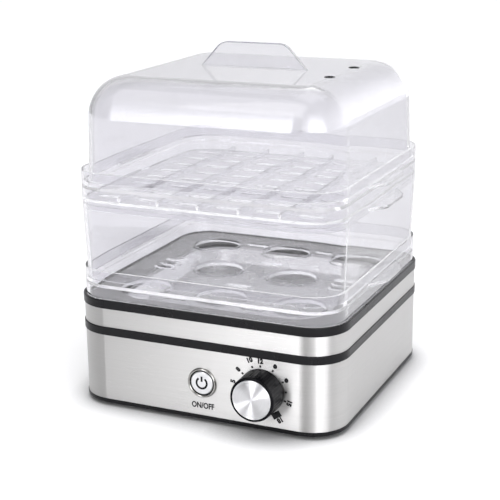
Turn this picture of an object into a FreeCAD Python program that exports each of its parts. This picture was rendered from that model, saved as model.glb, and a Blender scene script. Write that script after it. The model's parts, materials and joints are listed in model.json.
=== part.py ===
import FreeCAD, Part
import math
import os

# Egg cooker: a brushed-steel base with a heated water dish, and a stack of clear
# trays and a clear lid that lift off one by one.
# Millimetres, +Z up, front towards -Y, feet on z = 0.

# ---- overall driving sizes ----
WIDTH = 180.0            # across the steel bands
DEPTH = 176.5            # front to back over the steel bands
CORNER_R = 23.3          # plan corner of the steel bands

# ---- base, from the floor up ----
FOOT_DROP = 2.0          # rubber feet below the pan
PAN_LIP_H = 3.0          # black lip that shows under the steel
LOWER_BAND_H = 43.5
MID_TRIM_H = 5.6
UPPER_BAND_H = 12.1
TOP_RIM_H = 5.7
BAND_T = 0.8             # steel sheet
TRIM_PROUD = 0.6         # black trims stand out from the steel by this
TRIM_EDGE_R = 0.5
FIT = 0.2                # moulded parts fixed to each other
LOOSE = 0.3              # parts that lift off
TOUCH = 0.02             # faces that meet inside one assembly
ROOT = 0.5               # how far a rib or tab runs into the part it grows from
PASS = 2.0               # how far a cutter passes beyond a thin wall
BLIND = 0.8              # material left at the end of a blind screw hole

PAN_FLOOR_T = 2.5
PAN_WALL_T = 2.0
PAN_WALL_H = 7.0
PAN_EDGE_R = 1.2
FOOT_R = 8.0
FOOT_RECESS = 1.0
FOOT_EDGE_R = 0.6
FOOT_INSET = 24.0        # foot centre from the steel's side and front
VENT_LENGTH = 24.0
VENT_WIDTH = 3.0
VENT_PITCH = 7.0
VENT_COUNT = 5

POST_INSET = 13.0        # screw post centre from the steel's side and front
POST_R = 4.2
BOSS_R = 4.6
BOSS_H = 10.0
SCREW_R = 1.5
SCREW_HEAD_R = 2.8
SCREW_HEAD_H = 1.8
SMALL_SCREW_R = 1.2
SMALL_HEAD_R = 2.4
SMALL_HEAD_H = 1.2
DRIVER_SLOT_W = 0.6
BASE_SCREW_GRIP = 14.0
SCREW_SPARE = 1.0        # hole deeper than its screw

LINER_LEG_T = 1.6        # wall of the trims inside the steel
LEG_DEPTH = 5.0          # how far a trim reaches behind a band

# ---- water dish and its heater ----
RIM_WALL_T = 1.6
LEDGE_DROP = 3.9         # tray seat below the top of the rim
LEDGE_T = 4.2
LEDGE_WIDTH = 18.0       # from the steel's outside to the dish opening
LEDGE_LIP_T = 2.0
LEDGE_CORNER_R = 24.0
SEAL_WIDTH = 6.0
SEAL_T = 1.2
CLIP_WIDTH = 10.0
CLIP_T = 1.0
CLIP_BITE = 2.5          # how far a clip reaches under the dish's flange
DISH_T = 1.0
DISH_DEPTH = 9.0
DISH_SLOPE = 6.0
PLATE_MARGIN = 4.0       # heater plate inside the dish's flat bottom
PLATE_T = 3.0
ELEMENT_IN = 12.0        # ring of tube inside the plate's edge
ELEMENT_TUBE_R = 3.2
ELEMENT_GAP_DEG = 50.0
ELEMENT_LEG = 12.0
ELEMENT_LEG_R = 2.5
ELEMENT_LEG_DEG = 5.0    # leg's place round the ring, past the ring's end
ELEMENT_PIN_R = 1.2
ELEMENT_PIN_L = 5.0
SHIELD_OUT = 6.0         # shield past the plate's edge
SHIELD_T = 0.8
SHIELD_DROP = 9.0        # shield below the heater plate
SHIELD_WALL_H = 6.0
SHIELD_HOLE_R = 17.0
LEG_HOLE_GAP = 1.5       # shield's holes round the element's legs
SHIELD_POST_R = 3.0
SHIELD_POST_IN = 18.0    # posts inside the ring of tube
THERMOSTAT_R = 8.0
THERMOSTAT_H = 9.0
THERMOSTAT_EAR_AT = 12.0
THERMOSTAT_EAR_W = 6.0
THERMOSTAT_EAR_T = 1.0
THERMOSTAT_SCREW_L = 2.6
BLADE = (0.8, 6.3, 6.0)  # thermostat's flat terminals
BLADE_AT = 4.0
FUSE_R = 1.8
FUSE_LENGTH = 12.0
FUSE_GAP = 7.0           # from the ring of tube
FUSE_LEAD_R = 0.5
FUSE_LEAD_L = 6.0

# ---- controls on the front ----
BUTTON_X = 2.5
BUTTON_UP = 21.8         # above the lower edge of the steel
BEZEL_R = 9.7
BEZEL_BARREL_R = 8.6
BEZEL_PROUD = 1.6
BEZEL_BARREL_L = 6.0
BEZEL_EDGE_R = 0.6
BEZEL_NUT_T = 2.0
BEZEL_NUT_R = 11.0
CAP_R = 7.5
CAP_PROUD = 1.2
CAP_EDGE_R = 0.7
CAP_BODY_L = 4.0
CAP_STEM_R = 2.4
STEM_REACH = 0.5         # stem into the switch at rest
BUTTON_TRAVEL = 2.0
SPRING_R = 3.9
SPRING_WIRE = 0.5        # square wire
SPRING_TURNS = 5
SWITCH_SIDE = 14.0
SWITCH_L = 5.0

DIAL_X = 42.5
DIAL_UP = 22.6
DIAL_R = 14.5            # at the panel
DIAL_FACE_R = 13.8       # at the front
DIAL_L = 14.9
DIAL_GAP = 0.6
DIAL_WALL = 1.8
DIAL_WEB = 1.5
DIAL_EDGE_R = 0.5
DIAL_FLUTES = 30
DIAL_FLUTE_R = 0.7
DIAL_FLUTE_START = 2.0   # behind the dial's front
DIAL_FLUTE_OUT = 0.25    # flute's centre outside the skirt
FACE_R = 12.6
FACE_T = 0.8
FACE_BEVEL = 0.25
HUB_R = 5.5
SHAFT_R = 3.0
SHAFT_RUN = 0.05         # running clearance of the shaft in its bush
BUSH_R = 3.6
BUSH_PROUD = 2.6
BUSH_NUT_R = 5.6
BUSH_NUT_T = 1.6
POT_R = 8.5
POT_L = 9.0
POT_SETBACK = 4.0
POT_END_T = 2.0
SHAFT_SHORT = 0.5        # shaft's end short of the bottom of its bore

BOARD_T = 1.6
BOARD_H = 33.0
BOARD_LEFT = -32.0
BOARD_RIGHT = 65.0
BOARD_POST_W = 5.0
BOARD_POST_D = 7.0
BOARD_POST_H = 20.0
RELAY = (19.0, 15.0, 15.5)
RELAY_X = 20.0
RELAY_UP = 6.0
BUZZER_R = 6.0
BUZZER_H = 7.5
BUZZER_X = -14.0
BUZZER_HOLE_R = 1.0
BUZZER_HOLE_L = 2.0
CAPACITOR_R = 4.0
CAPACITOR_L = 11.0
CAPACITOR_X = 50.0

# ---- rear cable inlet ----
INLET_X = 45.0
INLET_UP = 13.0
INLET_BORE_R = 3.6
INLET_BARREL_R = 6.0
INLET_FLANGE_R = 8.5
INLET_FLANGE_T = 2.0
INLET_BARREL_L = 8.0
INLET_EDGE_R = 0.8
TERMINAL = (26.0, 14.0, 12.0)
TERMINAL_X = 30.0
TERMINAL_SETBACK = 24.0
TERMINAL_WAYS = 3
TERMINAL_WELL_R = 2.4
TERMINAL_WELL_L = 4.0
TERMINAL_WIRE_R = 1.6
TERMINAL_SCREW_R = 2.2
TERMINAL_SCREW_L = 2.5

# ---- clear trays, ring and lid ----
TRAY_INSET = 1.4         # tray wall inside the line of the steel
TRAY_WALL_T = 2.0
TRAY_FLOOR_T = 2.0
TRAY_FLOOR_UP = 1.5      # floor above the edge that the tray stands on
TRAY_STEP_T = 3.7        # wall plus the shelf that carries the next piece
TRAY_STEP_H = 3.0
TRAY_RIM_T = 1.5
TRAY_RIM_H = 6.5
LOWER_TRAY_H = 22.0
UPPER_TRAY_H = 20.7
RING_T = 1.8
RING_BOTTOM_INSET = 3.3
RING_H = 48.5
PLUG_DEPTH = 3.5         # skirt under the upper tray, inside the ring
PLUG_T = 1.5
TAB_OUT = 8.3
TAB_BASE = 58.0
TAB_TIP = 31.0
TAB_T = 2.0
TAB_CORNER_R = 6.0

EGG_PITCH = 53.5
EGG_HOLE_R = 16.5
EGG_LIP_T = 1.2
EGG_LIP_H = 1.2
EGG_SLOT_BEYOND = 11.7   # slots outside the outer rows of eggs
EGG_SLOT_SIDE = 64.2
EGG_SLOT_PITCH = 9.0
SLOT_LENGTH = 17.0
SLOT_WIDTH = 4.5
CELL_PITCH = 26.8
CELL_COUNT = 6
SLOT_ROWS = 8
SLOT_ROW_PITCH = 20.3
RIB_T = 1.6
RIB_H = 3.0

LID_INSET = 3.3
LID_CORNER_R = 27.5
LID_DRAFT = 2.0          # the walls lean in by this over the height
LID_H = 63.7
LID_T = 2.0
LID_EDGE_R = 25.0
VENT_HOLE_R = 3.0
VENT_HOLE_X = 60.0
VENT_HOLE_Y = 22.0
HANDLE_BASE = 73.2
HANDLE_TIP = 45.0
HANDLE_H = 15.8
HANDLE_T = 3.0
HANDLE_CORNER_R = 10.0

# ---- levels worked out from the sizes above ----
HALF_W = WIDTH / 2
HALF_D = DEPTH / 2
PAN_Z = FOOT_DROP
STEEL_Z = PAN_Z + PAN_LIP_H
MID_Z = STEEL_Z + LOWER_BAND_H
UPPER_BAND_Z = MID_Z + MID_TRIM_H
TOP_Z = UPPER_BAND_Z + UPPER_BAND_H
RIM_TOP_Z = TOP_Z + TOP_RIM_H
SEAT_Z = RIM_TOP_Z - LEDGE_DROP
LEDGE_LEG = BAND_T + FIT + LINER_LEG_T
LEDGE_LAND = LEDGE_WIDTH - SEAL_WIDTH - FIT - LEDGE_LEG
FLANGE_TOP_Z = SEAT_Z - LEDGE_LIP_T - SEAL_T
LEDGE_BOTTOM_Z = FLANGE_TOP_Z - DISH_T
DISH_FLOOR_Z = FLANGE_TOP_Z - DISH_DEPTH
PLATE_R = min(HALF_W, HALF_D) - LEDGE_WIDTH - 2 * DISH_T - DISH_SLOPE - PLATE_MARGIN
ELEMENT_R = PLATE_R - ELEMENT_IN
SHIELD_R = PLATE_R + SHIELD_OUT
SHIELD_POST_AT = ELEMENT_R - SHIELD_POST_IN
FUSE_AT = ELEMENT_R - ELEMENT_TUBE_R - FUSE_R - FUSE_GAP
PLATE_TOP_Z = DISH_FLOOR_Z - DISH_T
PLATE_BOTTOM_Z = PLATE_TOP_Z - PLATE_T
ELEMENT_Z = PLATE_BOTTOM_Z - ELEMENT_TUBE_R - TOUCH
SHIELD_Z = PLATE_BOTTOM_Z - SHIELD_DROP
PAN_FLOOR_Z = PAN_Z + PAN_FLOOR_T
BOSS_TOP_Z = PAN_FLOOR_Z + BOSS_H

FRONT_Y = -HALF_D
BUTTON_Z = STEEL_Z + BUTTON_UP
DIAL_Z = STEEL_Z + DIAL_UP
INLET_Z = STEEL_Z + INLET_UP
DIAL_BACK_Y = FRONT_Y - DIAL_GAP
DIAL_FRONT_Y = DIAL_BACK_Y - DIAL_L
POT_Y = FRONT_Y + POT_SETBACK
BOARD_Y = POT_Y + POT_L
SWITCH_Y = BOARD_Y - SWITCH_L
BOARD_Z = STEEL_Z + (LOWER_BAND_H - BOARD_H) / 2

LOWER_TRAY_Z = SEAT_Z
LOWER_STEP_Z = LOWER_TRAY_Z + LOWER_TRAY_H - TRAY_RIM_H
RING_Z = LOWER_STEP_Z
RING_TOP_Z = RING_Z + RING_H
UPPER_TRAY_Z = RING_TOP_Z
UPPER_STEP_Z = UPPER_TRAY_Z + UPPER_TRAY_H - TRAY_RIM_H
LID_Z = UPPER_STEP_Z
LID_TOP_Z = LID_Z + LID_H

# The origin is the middle of the bounding box's underside, so everything is moved
# back by half of what the dial adds in front, less what the inlet adds behind.
FRONT_REACH = HALF_D + DIAL_GAP + DIAL_L + FACE_T / 2
REAR_REACH = HALF_D + INLET_FLANGE_T
SHIFT_Y = (FRONT_REACH - REAR_REACH) / 2

POST_AT = [(sx * (HALF_W - POST_INSET), sy * (HALF_D - POST_INSET)) for sx in (-1, 1) for sy in (-1, 1)]
FOOT_AT = [(sx * (HALF_W - FOOT_INSET), sy * (HALF_D - FOOT_INSET)) for sx in (-1, 1) for sy in (-1, 1)]

os.makedirs("parts", exist_ok=True)


def vec(x, y, z):
    return FreeCAD.Vector(x, y, z)


def outline(half_x, half_y, radius, z):
    """Closed wire of a rectangle with round corners at height z."""
    edges = []
    corners = [(1, -1, -90), (1, 1, 0), (-1, 1, 90), (-1, -1, 180)]
    ends = []
    for sx, sy, start in corners:
        centre = vec(sx * (half_x - radius), sy * (half_y - radius), z)
        points = []
        for step in (0, 45, 90):
            angle = math.radians(start + step)
            points.append(centre + vec(radius * math.cos(angle), radius * math.sin(angle), 0))
        ends.append(points)
    for index, points in enumerate(ends):
        edges.append(Part.Arc(*points).toShape())
        edges.append(Part.makeLine(points[2], ends[(index + 1) % 4][0]))
    return Part.Wire(edges)


def inset_outline(inset, z, corner=CORNER_R):
    """The steel's plan, moved inwards by inset."""
    return outline(HALF_W - inset, HALF_D - inset, max(corner - inset, 1.0), z)


def prism(inset, z0, z1, corner=CORNER_R):
    """Solid between two heights with the steel's plan moved in by inset."""
    return Part.Face(inset_outline(inset, z0, corner)).extrude(vec(0, 0, z1 - z0))


def flared(inset0, z0, inset1, z1, corner0=CORNER_R, corner1=CORNER_R):
    """Solid whose plan changes evenly from one inset to another."""
    wires = [inset_outline(inset0, z0, corner0), inset_outline(inset1, z1, corner1)]
    return Part.makeLoft(wires, True, True)


def band(outer, inner, z0, z1):
    """Ring between two insets."""
    return prism(outer, z0, z1).cut(prism(inner, z0, z1))


def rod(x, y, z, radius, length, axis=(0, 0, 1)):
    return Part.makeCylinder(radius, length, vec(x, y, z), vec(*axis))


def rod_y(x, z, radius, y0, y1):
    """Cylinder along Y from y0 to y1."""
    return rod(x, y0, z, radius, y1 - y0, (0, 1, 0))


def block(size, centre_x, centre_y, z0):
    """Box of size (x, y, z), centred in plan and standing on z0."""
    corner = vec(centre_x - size[0] / 2, centre_y - size[1] / 2, z0)
    return Part.makeBox(size[0], size[1], size[2], corner)


def stadium(x, y, length, width, z0, z1):
    """Slot with round ends, long in X."""
    radius = width / 2
    reach = length / 2 - radius
    middle = block((2 * reach, width, z1 - z0), x, y, z0)
    ends = [rod(x + side * reach, y, z0, radius, z1 - z0) for side in (-1, 1)]
    return middle.fuse(ends)


def round_edges(shape, radius, level):
    """Round the outer edges that lie in the plane z = level."""
    box = shape.BoundBox
    chosen = []
    for edge in shape.Edges:
        bounds = edge.BoundBox
        flat = abs(bounds.ZMin - level) < 1e-4 and abs(bounds.ZMax - level) < 1e-4
        middle = bounds.Center
        near_side = max(abs(middle.x) / box.XMax, abs(middle.y) / box.YMax)
        if flat and near_side > 0.85:
            chosen.append(edge)
    return shape.makeFillet(radius, chosen)


def save(name, shape):
    """Write one piece, moved so that the frame's origin is under the middle of the box."""
    piece = shape.removeSplitter()
    piece.translate(vec(0, SHIFT_Y, 0))
    if not piece.isValid():
        raise ValueError(name + " is not a valid shape")
    piece.exportStep("parts/" + name + ".step")


def group(shapes):
    """Several solids of one kind in one node."""
    solids = []
    for shape in shapes:
        solids.extend(shape.Solids)
    return Part.Compound(solids)


# ---- base housing ----
def base_pan():
    lip = round_edges(prism(-TRIM_PROUD / 2, PAN_Z, STEEL_Z), PAN_EDGE_R, PAN_Z)
    wall_inset = BAND_T + FIT
    wall = prism(wall_inset, STEEL_Z, STEEL_Z + PAN_WALL_H)
    hollow = prism(wall_inset + PAN_WALL_T, PAN_FLOOR_Z, STEEL_Z + PAN_WALL_H)
    pan = lip.fuse(wall).cut(hollow)
    for x, y in POST_AT:
        pan = pan.fuse(rod(x, y, PAN_Z, BOSS_R, BOSS_TOP_Z - PAN_Z))
    for x in (BOARD_LEFT, BOARD_RIGHT):
        post = block((BOARD_POST_W, BOARD_POST_D, BOARD_POST_H), x, BOARD_Y + BOARD_T / 2, PAN_FLOOR_Z)
        pan = pan.fuse(post)
    for x, y in POST_AT:
        pan = pan.cut(rod(x, y, PAN_Z, SCREW_R + FIT, BOSS_TOP_Z - PAN_Z))
        pan = pan.cut(rod(x, y, PAN_Z, SCREW_HEAD_R + FIT, SCREW_HEAD_H + FIT))
    for x, y in FOOT_AT:
        pan = pan.cut(rod(x, y, PAN_Z, FOOT_R + FIT, FOOT_RECESS))
    for index in range(VENT_COUNT):
        y = (index - (VENT_COUNT - 1) / 2) * VENT_PITCH
        for side in (-1, 1):
            pan = pan.cut(stadium(side * VENT_LENGTH, y, VENT_LENGTH, VENT_WIDTH, PAN_Z, PAN_FLOOR_Z))
    return pan.cut(board_slot())


def board_slot():
    """Room for the control board in the two posts that hold it."""
    width = BOARD_RIGHT - BOARD_LEFT + FIT
    middle = (BOARD_RIGHT + BOARD_LEFT) / 2
    size = (width, BOARD_T + FIT, BOARD_H)
    return block(size, middle, BOARD_Y + BOARD_T / 2, BOARD_Z - TOUCH)


def rubber_feet():
    feet = []
    for x, y in FOOT_AT:
        foot = rod(x, y, 0, FOOT_R, FOOT_DROP + FOOT_RECESS)
        rims = [edge for edge in foot.Edges if abs(edge.BoundBox.ZMax) < 1e-4]
        feet.append(foot.makeFillet(FOOT_EDGE_R, rims))
    return group(feet)


def lower_band():
    steel = band(0, BAND_T, STEEL_Z, MID_Z)
    steel = steel.cut(rod_y(BUTTON_X, BUTTON_Z, BEZEL_BARREL_R + FIT, FRONT_Y - PASS, FRONT_Y + PASS))
    steel = steel.cut(rod_y(DIAL_X, DIAL_Z, BUSH_R + FIT, FRONT_Y - PASS, FRONT_Y + PASS))
    return steel.cut(rod_y(INLET_X, INLET_Z, INLET_BARREL_R + FIT, HALF_D - PASS, HALF_D + PASS))


def mid_trim():
    bead = prism(-TRIM_PROUD, MID_Z, UPPER_BAND_Z)
    bead = round_edges(round_edges(bead, TRIM_EDGE_R, MID_Z), TRIM_EDGE_R, UPPER_BAND_Z)
    leg_inset = BAND_T + FIT
    leg = prism(leg_inset, MID_Z - LEG_DEPTH, UPPER_BAND_Z + LEG_DEPTH / 2)
    inside = prism(leg_inset + LINER_LEG_T, MID_Z - LEG_DEPTH, UPPER_BAND_Z + LEG_DEPTH / 2)
    return bead.fuse(leg).cut(inside)


def upper_band():
    return band(0, BAND_T, UPPER_BAND_Z, TOP_Z)


def top_rim():
    leg_inset = BAND_T + FIT
    leg_bottom = TOP_Z - LEG_DEPTH
    collar = round_edges(prism(-TRIM_PROUD, TOP_Z, RIM_TOP_Z), TRIM_EDGE_R, TOP_Z)
    collar = round_edges(collar, TRIM_EDGE_R, RIM_TOP_Z)
    body = collar.fuse(prism(leg_inset, leg_bottom, TOP_Z))
    body = body.cut(prism(RIM_WALL_T - TRIM_PROUD, SEAT_Z, RIM_TOP_Z))
    body = body.cut(prism(leg_inset + LINER_LEG_T, leg_bottom, LEDGE_BOTTOM_Z))
    half = (HALF_W - LEDGE_WIDTH, HALF_D - LEDGE_WIDTH)
    body = body.cut(plate(half, LEDGE_CORNER_R, leg_bottom, SEAT_Z))
    rebate = (half[0] + SEAL_WIDTH + FIT, half[1] + SEAL_WIDTH + FIT)
    body = body.cut(plate(rebate, LEDGE_CORNER_R + SEAL_WIDTH + FIT, leg_bottom, SEAT_Z - LEDGE_LIP_T))
    for x, y in POST_AT:
        body = body.fuse(rod(x, y, BOSS_TOP_Z + FIT, POST_R, LEDGE_BOTTOM_Z - BOSS_TOP_Z))
    for x, y in POST_AT:
        body = body.cut(rod(x, y, BOSS_TOP_Z, SCREW_R + TOUCH, BASE_SCREW_GRIP))
    for x, y, _ in clip_places():
        body = body.cut(rod(x, y, LEDGE_BOTTOM_Z, SMALL_SCREW_R + TOUCH, LEDGE_T - BLIND))
    return body


def plate(half, radius, z0, z1):
    """Rounded rectangle of half sizes (x, y) between two heights."""
    return Part.Face(outline(half[0], half[1], radius, z0)).extrude(vec(0, 0, z1 - z0))


# ---- water dish and heater ----
def dish_half(extra):
    """Half sizes of the dish opening, made larger by extra."""
    return (HALF_W - LEDGE_WIDTH + extra, HALF_D - LEDGE_WIDTH + extra)


def dish_seal():
    top = SEAT_Z - LEDGE_LIP_T
    outer = plate(dish_half(SEAL_WIDTH - FIT), LEDGE_CORNER_R + SEAL_WIDTH - FIT, FLANGE_TOP_Z, top)
    return outer.cut(plate(dish_half(FIT), LEDGE_CORNER_R + FIT, FLANGE_TOP_Z, top))


def dish_bowl(grow, z_floor, z_top):
    """Tapered hollow of the dish, grown outwards by grow."""
    top = dish_half(-2 * DISH_T + grow)
    low = dish_half(-2 * DISH_T - DISH_SLOPE + grow)
    radius = LEDGE_CORNER_R - 2 * DISH_T + grow
    wires = [outline(low[0], low[1], radius - DISH_SLOPE, z_floor), outline(top[0], top[1], radius, z_top)]
    return Part.makeLoft(wires, True, True)


def heating_dish():
    overlap = SEAL_WIDTH - FIT
    flange = plate(dish_half(overlap), LEDGE_CORNER_R + overlap, LEDGE_BOTTOM_Z, FLANGE_TOP_Z)
    bowl = dish_bowl(DISH_T, PLATE_TOP_Z, FLANGE_TOP_Z)
    return flange.fuse(bowl).cut(dish_bowl(0, DISH_FLOOR_Z, FLANGE_TOP_Z))


def clip_places():
    """Centre of each dish clip's screw, midway across the ledge's land, and the way it points."""
    half_x = HALF_W - LEDGE_LEG - LEDGE_LAND / 2
    half_y = HALF_D - LEDGE_LEG - LEDGE_LAND / 2
    return [(half_x, 0, 0), (0, half_y, 90), (-half_x, 0, 180), (0, -half_y, 270)]


def dish_clips():
    tail = LEDGE_LAND / 2 - LOOSE
    nose = LEDGE_LAND / 2 + 2 * FIT + CLIP_BITE
    clips = []
    for x, y, turn in clip_places():
        size = (tail + nose, CLIP_WIDTH, CLIP_T)
        clip = block(size, (tail - nose) / 2, 0, LEDGE_BOTTOM_Z - CLIP_T)
        clip = clip.cut(rod(0, 0, LEDGE_BOTTOM_Z - CLIP_T, SCREW_R, CLIP_T))
        clip.rotate(vec(0, 0, 0), vec(0, 0, 1), turn)
        clip.translate(vec(x, y, 0))
        clips.append(clip)
    return group(clips)


def screw(x, y, head_z, shank_r, head_r, head_h, length):
    """Slotted screw pointing up, its head's upper face at head_z."""
    body = rod(x, y, head_z, shank_r, length).fuse(rod(x, y, head_z - head_h, head_r, head_h))
    slot = block((3 * head_r, DRIVER_SLOT_W, head_h / 2), x, y, head_z - head_h)
    return body.cut(slot)


def small_screws(places, head_z, length):
    """Small screws pointing up at each of the places."""
    return group([screw(x, y, head_z, SMALL_SCREW_R, SMALL_HEAD_R, SMALL_HEAD_H, length) for x, y in places])


def clip_screws():
    places = [(x, y) for x, y, _ in clip_places()]
    return small_screws(places, LEDGE_BOTTOM_Z - CLIP_T, LEDGE_T)


def heater_plate():
    disc = rod(0, 0, PLATE_BOTTOM_Z, PLATE_R, PLATE_T)
    for x, y in shield_posts() + thermostat_ears():
        disc = disc.cut(rod(x, y, PLATE_BOTTOM_Z, SMALL_SCREW_R + TOUCH, PLATE_T - BLIND))
    return disc


def element_legs():
    """Plan places of the element's two legs, just inside the ends of its ring."""
    places = []
    for side in (-1, 1):
        angle = math.radians(90 + side * (ELEMENT_GAP_DEG / 2 + ELEMENT_LEG_DEG))
        places.append((ELEMENT_R * math.cos(angle), ELEMENT_R * math.sin(angle)))
    return places


def heating_element():
    """Most of a ring of tube, with two legs and their pins at the back."""
    sweep = 360 - ELEMENT_GAP_DEG
    tube = Part.makeTorus(ELEMENT_R, ELEMENT_TUBE_R, vec(0, 0, ELEMENT_Z), vec(0, 0, 1), 0, 360, sweep)
    tube.rotate(vec(0, 0, 0), vec(0, 0, 1), 90 + ELEMENT_GAP_DEG / 2)
    for x, y in element_legs():
        leg = rod(x, y, ELEMENT_Z - ELEMENT_LEG, ELEMENT_LEG_R, ELEMENT_LEG)
        pin = rod(x, y, ELEMENT_Z - ELEMENT_LEG - ELEMENT_PIN_L, ELEMENT_PIN_R, ELEMENT_PIN_L)
        tube = tube.fuse([leg, pin])
    return tube


def shield_posts():
    angles = [math.radians(30 + 120 * index) for index in range(3)]
    return [(SHIELD_POST_AT * math.cos(a), SHIELD_POST_AT * math.sin(a)) for a in angles]


def heat_shield():
    outer = rod(0, 0, SHIELD_Z, SHIELD_R, SHIELD_WALL_H)
    shield = outer.cut(rod(0, 0, SHIELD_Z + SHIELD_T, SHIELD_R - SHIELD_T, SHIELD_WALL_H))
    for x, y in shield_posts():
        shield = shield.fuse(rod(x, y, SHIELD_Z, SHIELD_POST_R, SHIELD_DROP - TOUCH))
    for x, y in shield_posts():
        shield = shield.cut(rod(x, y, SHIELD_Z, SCREW_R, SHIELD_DROP))
    shield = shield.cut(rod(0, 0, SHIELD_Z, SHIELD_HOLE_R, SHIELD_T))
    for x, y in element_legs():
        shield = shield.cut(rod(x, y, SHIELD_Z, ELEMENT_LEG_R + LEG_HOLE_GAP, SHIELD_T))
    return shield


def shield_screws():
    return small_screws(shield_posts(), SHIELD_Z, SHIELD_DROP + PLATE_T / 2)


def thermostat_ears():
    return [(side * THERMOSTAT_EAR_AT, 0) for side in (-1, 1)]


def thermostat():
    top = PLATE_BOTTOM_Z - TOUCH
    can = rod(0, 0, top - THERMOSTAT_H, THERMOSTAT_R, THERMOSTAT_H)
    ear_bottom = top - THERMOSTAT_EAR_T
    ears = stadium(0, 0, 2 * THERMOSTAT_EAR_AT + THERMOSTAT_EAR_W, THERMOSTAT_EAR_W, ear_bottom, top)
    body = can.fuse(ears)
    for x, y in thermostat_ears():
        body = body.cut(rod(x, y, ear_bottom, SCREW_R, THERMOSTAT_EAR_T))
    for side in (-1, 1):
        body = body.fuse(block(BLADE, side * BLADE_AT, 0, top - THERMOSTAT_H - BLADE[2]))
    return body


def thermostat_screws():
    head_z = PLATE_BOTTOM_Z - TOUCH - THERMOSTAT_EAR_T
    return small_screws(thermostat_ears(), head_z, THERMOSTAT_SCREW_L)


def thermal_fuse():
    z = PLATE_BOTTOM_Z - FUSE_R - TOUCH
    y0 = -FUSE_LENGTH / 2
    body = rod_y(FUSE_AT, z, FUSE_R, y0, y0 + FUSE_LENGTH)
    leads = rod_y(FUSE_AT, z, FUSE_LEAD_R, y0 - FUSE_LEAD_L, y0 + FUSE_LENGTH + FUSE_LEAD_L)
    return body.fuse(leads)


# ---- controls ----
def button_bezel():
    lip = rod_y(BUTTON_X, BUTTON_Z, BEZEL_R, FRONT_Y - BEZEL_PROUD, FRONT_Y)
    front = [edge for edge in lip.Edges if abs(edge.BoundBox.YMax - FRONT_Y + BEZEL_PROUD) < 1e-4]
    lip = lip.makeFillet(BEZEL_EDGE_R, front)
    barrel = rod_y(BUTTON_X, BUTTON_Z, BEZEL_BARREL_R, FRONT_Y, FRONT_Y + BEZEL_BARREL_L)
    bore = rod_y(BUTTON_X, BUTTON_Z, CAP_R + LOOSE, FRONT_Y - BEZEL_PROUD, FRONT_Y + BEZEL_BARREL_L)
    return lip.fuse(barrel).cut(bore)


def bezel_nut():
    y0 = FRONT_Y + BAND_T + TOUCH
    ring = rod_y(BUTTON_X, BUTTON_Z, BEZEL_NUT_R, y0, y0 + BEZEL_NUT_T)
    return ring.cut(rod_y(BUTTON_X, BUTTON_Z, BEZEL_BARREL_R + TOUCH, y0, y0 + BEZEL_NUT_T))


def button_cap():
    front = FRONT_Y - CAP_PROUD
    cap = rod_y(BUTTON_X, BUTTON_Z, CAP_R, front, FRONT_Y + CAP_BODY_L - CAP_PROUD)
    edges = [edge for edge in cap.Edges if abs(edge.BoundBox.YMax - front) < 1e-4]
    cap = cap.makeFillet(CAP_EDGE_R, edges)
    return cap.fuse(rod_y(BUTTON_X, BUTTON_Z, CAP_STEM_R, FRONT_Y, SWITCH_Y + STEM_REACH))


def button_spring():
    """Coil of square wire round the stem, between the cap's collar and the switch."""
    half = SPRING_WIRE / 2
    start = FRONT_Y + CAP_BODY_L - CAP_PROUD + half + TOUCH
    length = SWITCH_Y - half - TOUCH - start
    helix = Part.makeHelix(length / SPRING_TURNS, length, SPRING_R)
    corners = [vec(SPRING_R + dx * half, 0, dz * half) for dx, dz in ((-1, -1), (1, -1), (1, 1), (-1, 1))]
    section = Part.makePolygon(corners + corners[:1])
    coil = Part.Wire(helix.Edges).makePipeShell([section], True, True)
    coil.rotate(vec(0, 0, 0), vec(1, 0, 0), -90)
    coil.translate(vec(BUTTON_X, start, BUTTON_Z))
    return coil


def push_switch():
    size = (SWITCH_SIDE, SWITCH_L - TOUCH, SWITCH_SIDE)
    body = block(size, BUTTON_X, SWITCH_Y + SWITCH_L / 2 - TOUCH / 2, BUTTON_Z - SWITCH_SIDE / 2)
    depth = STEM_REACH + BUTTON_TRAVEL + LOOSE
    return body.cut(rod_y(BUTTON_X, BUTTON_Z, CAP_STEM_R + LOOSE, SWITCH_Y - TOUCH, SWITCH_Y + depth))


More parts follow.
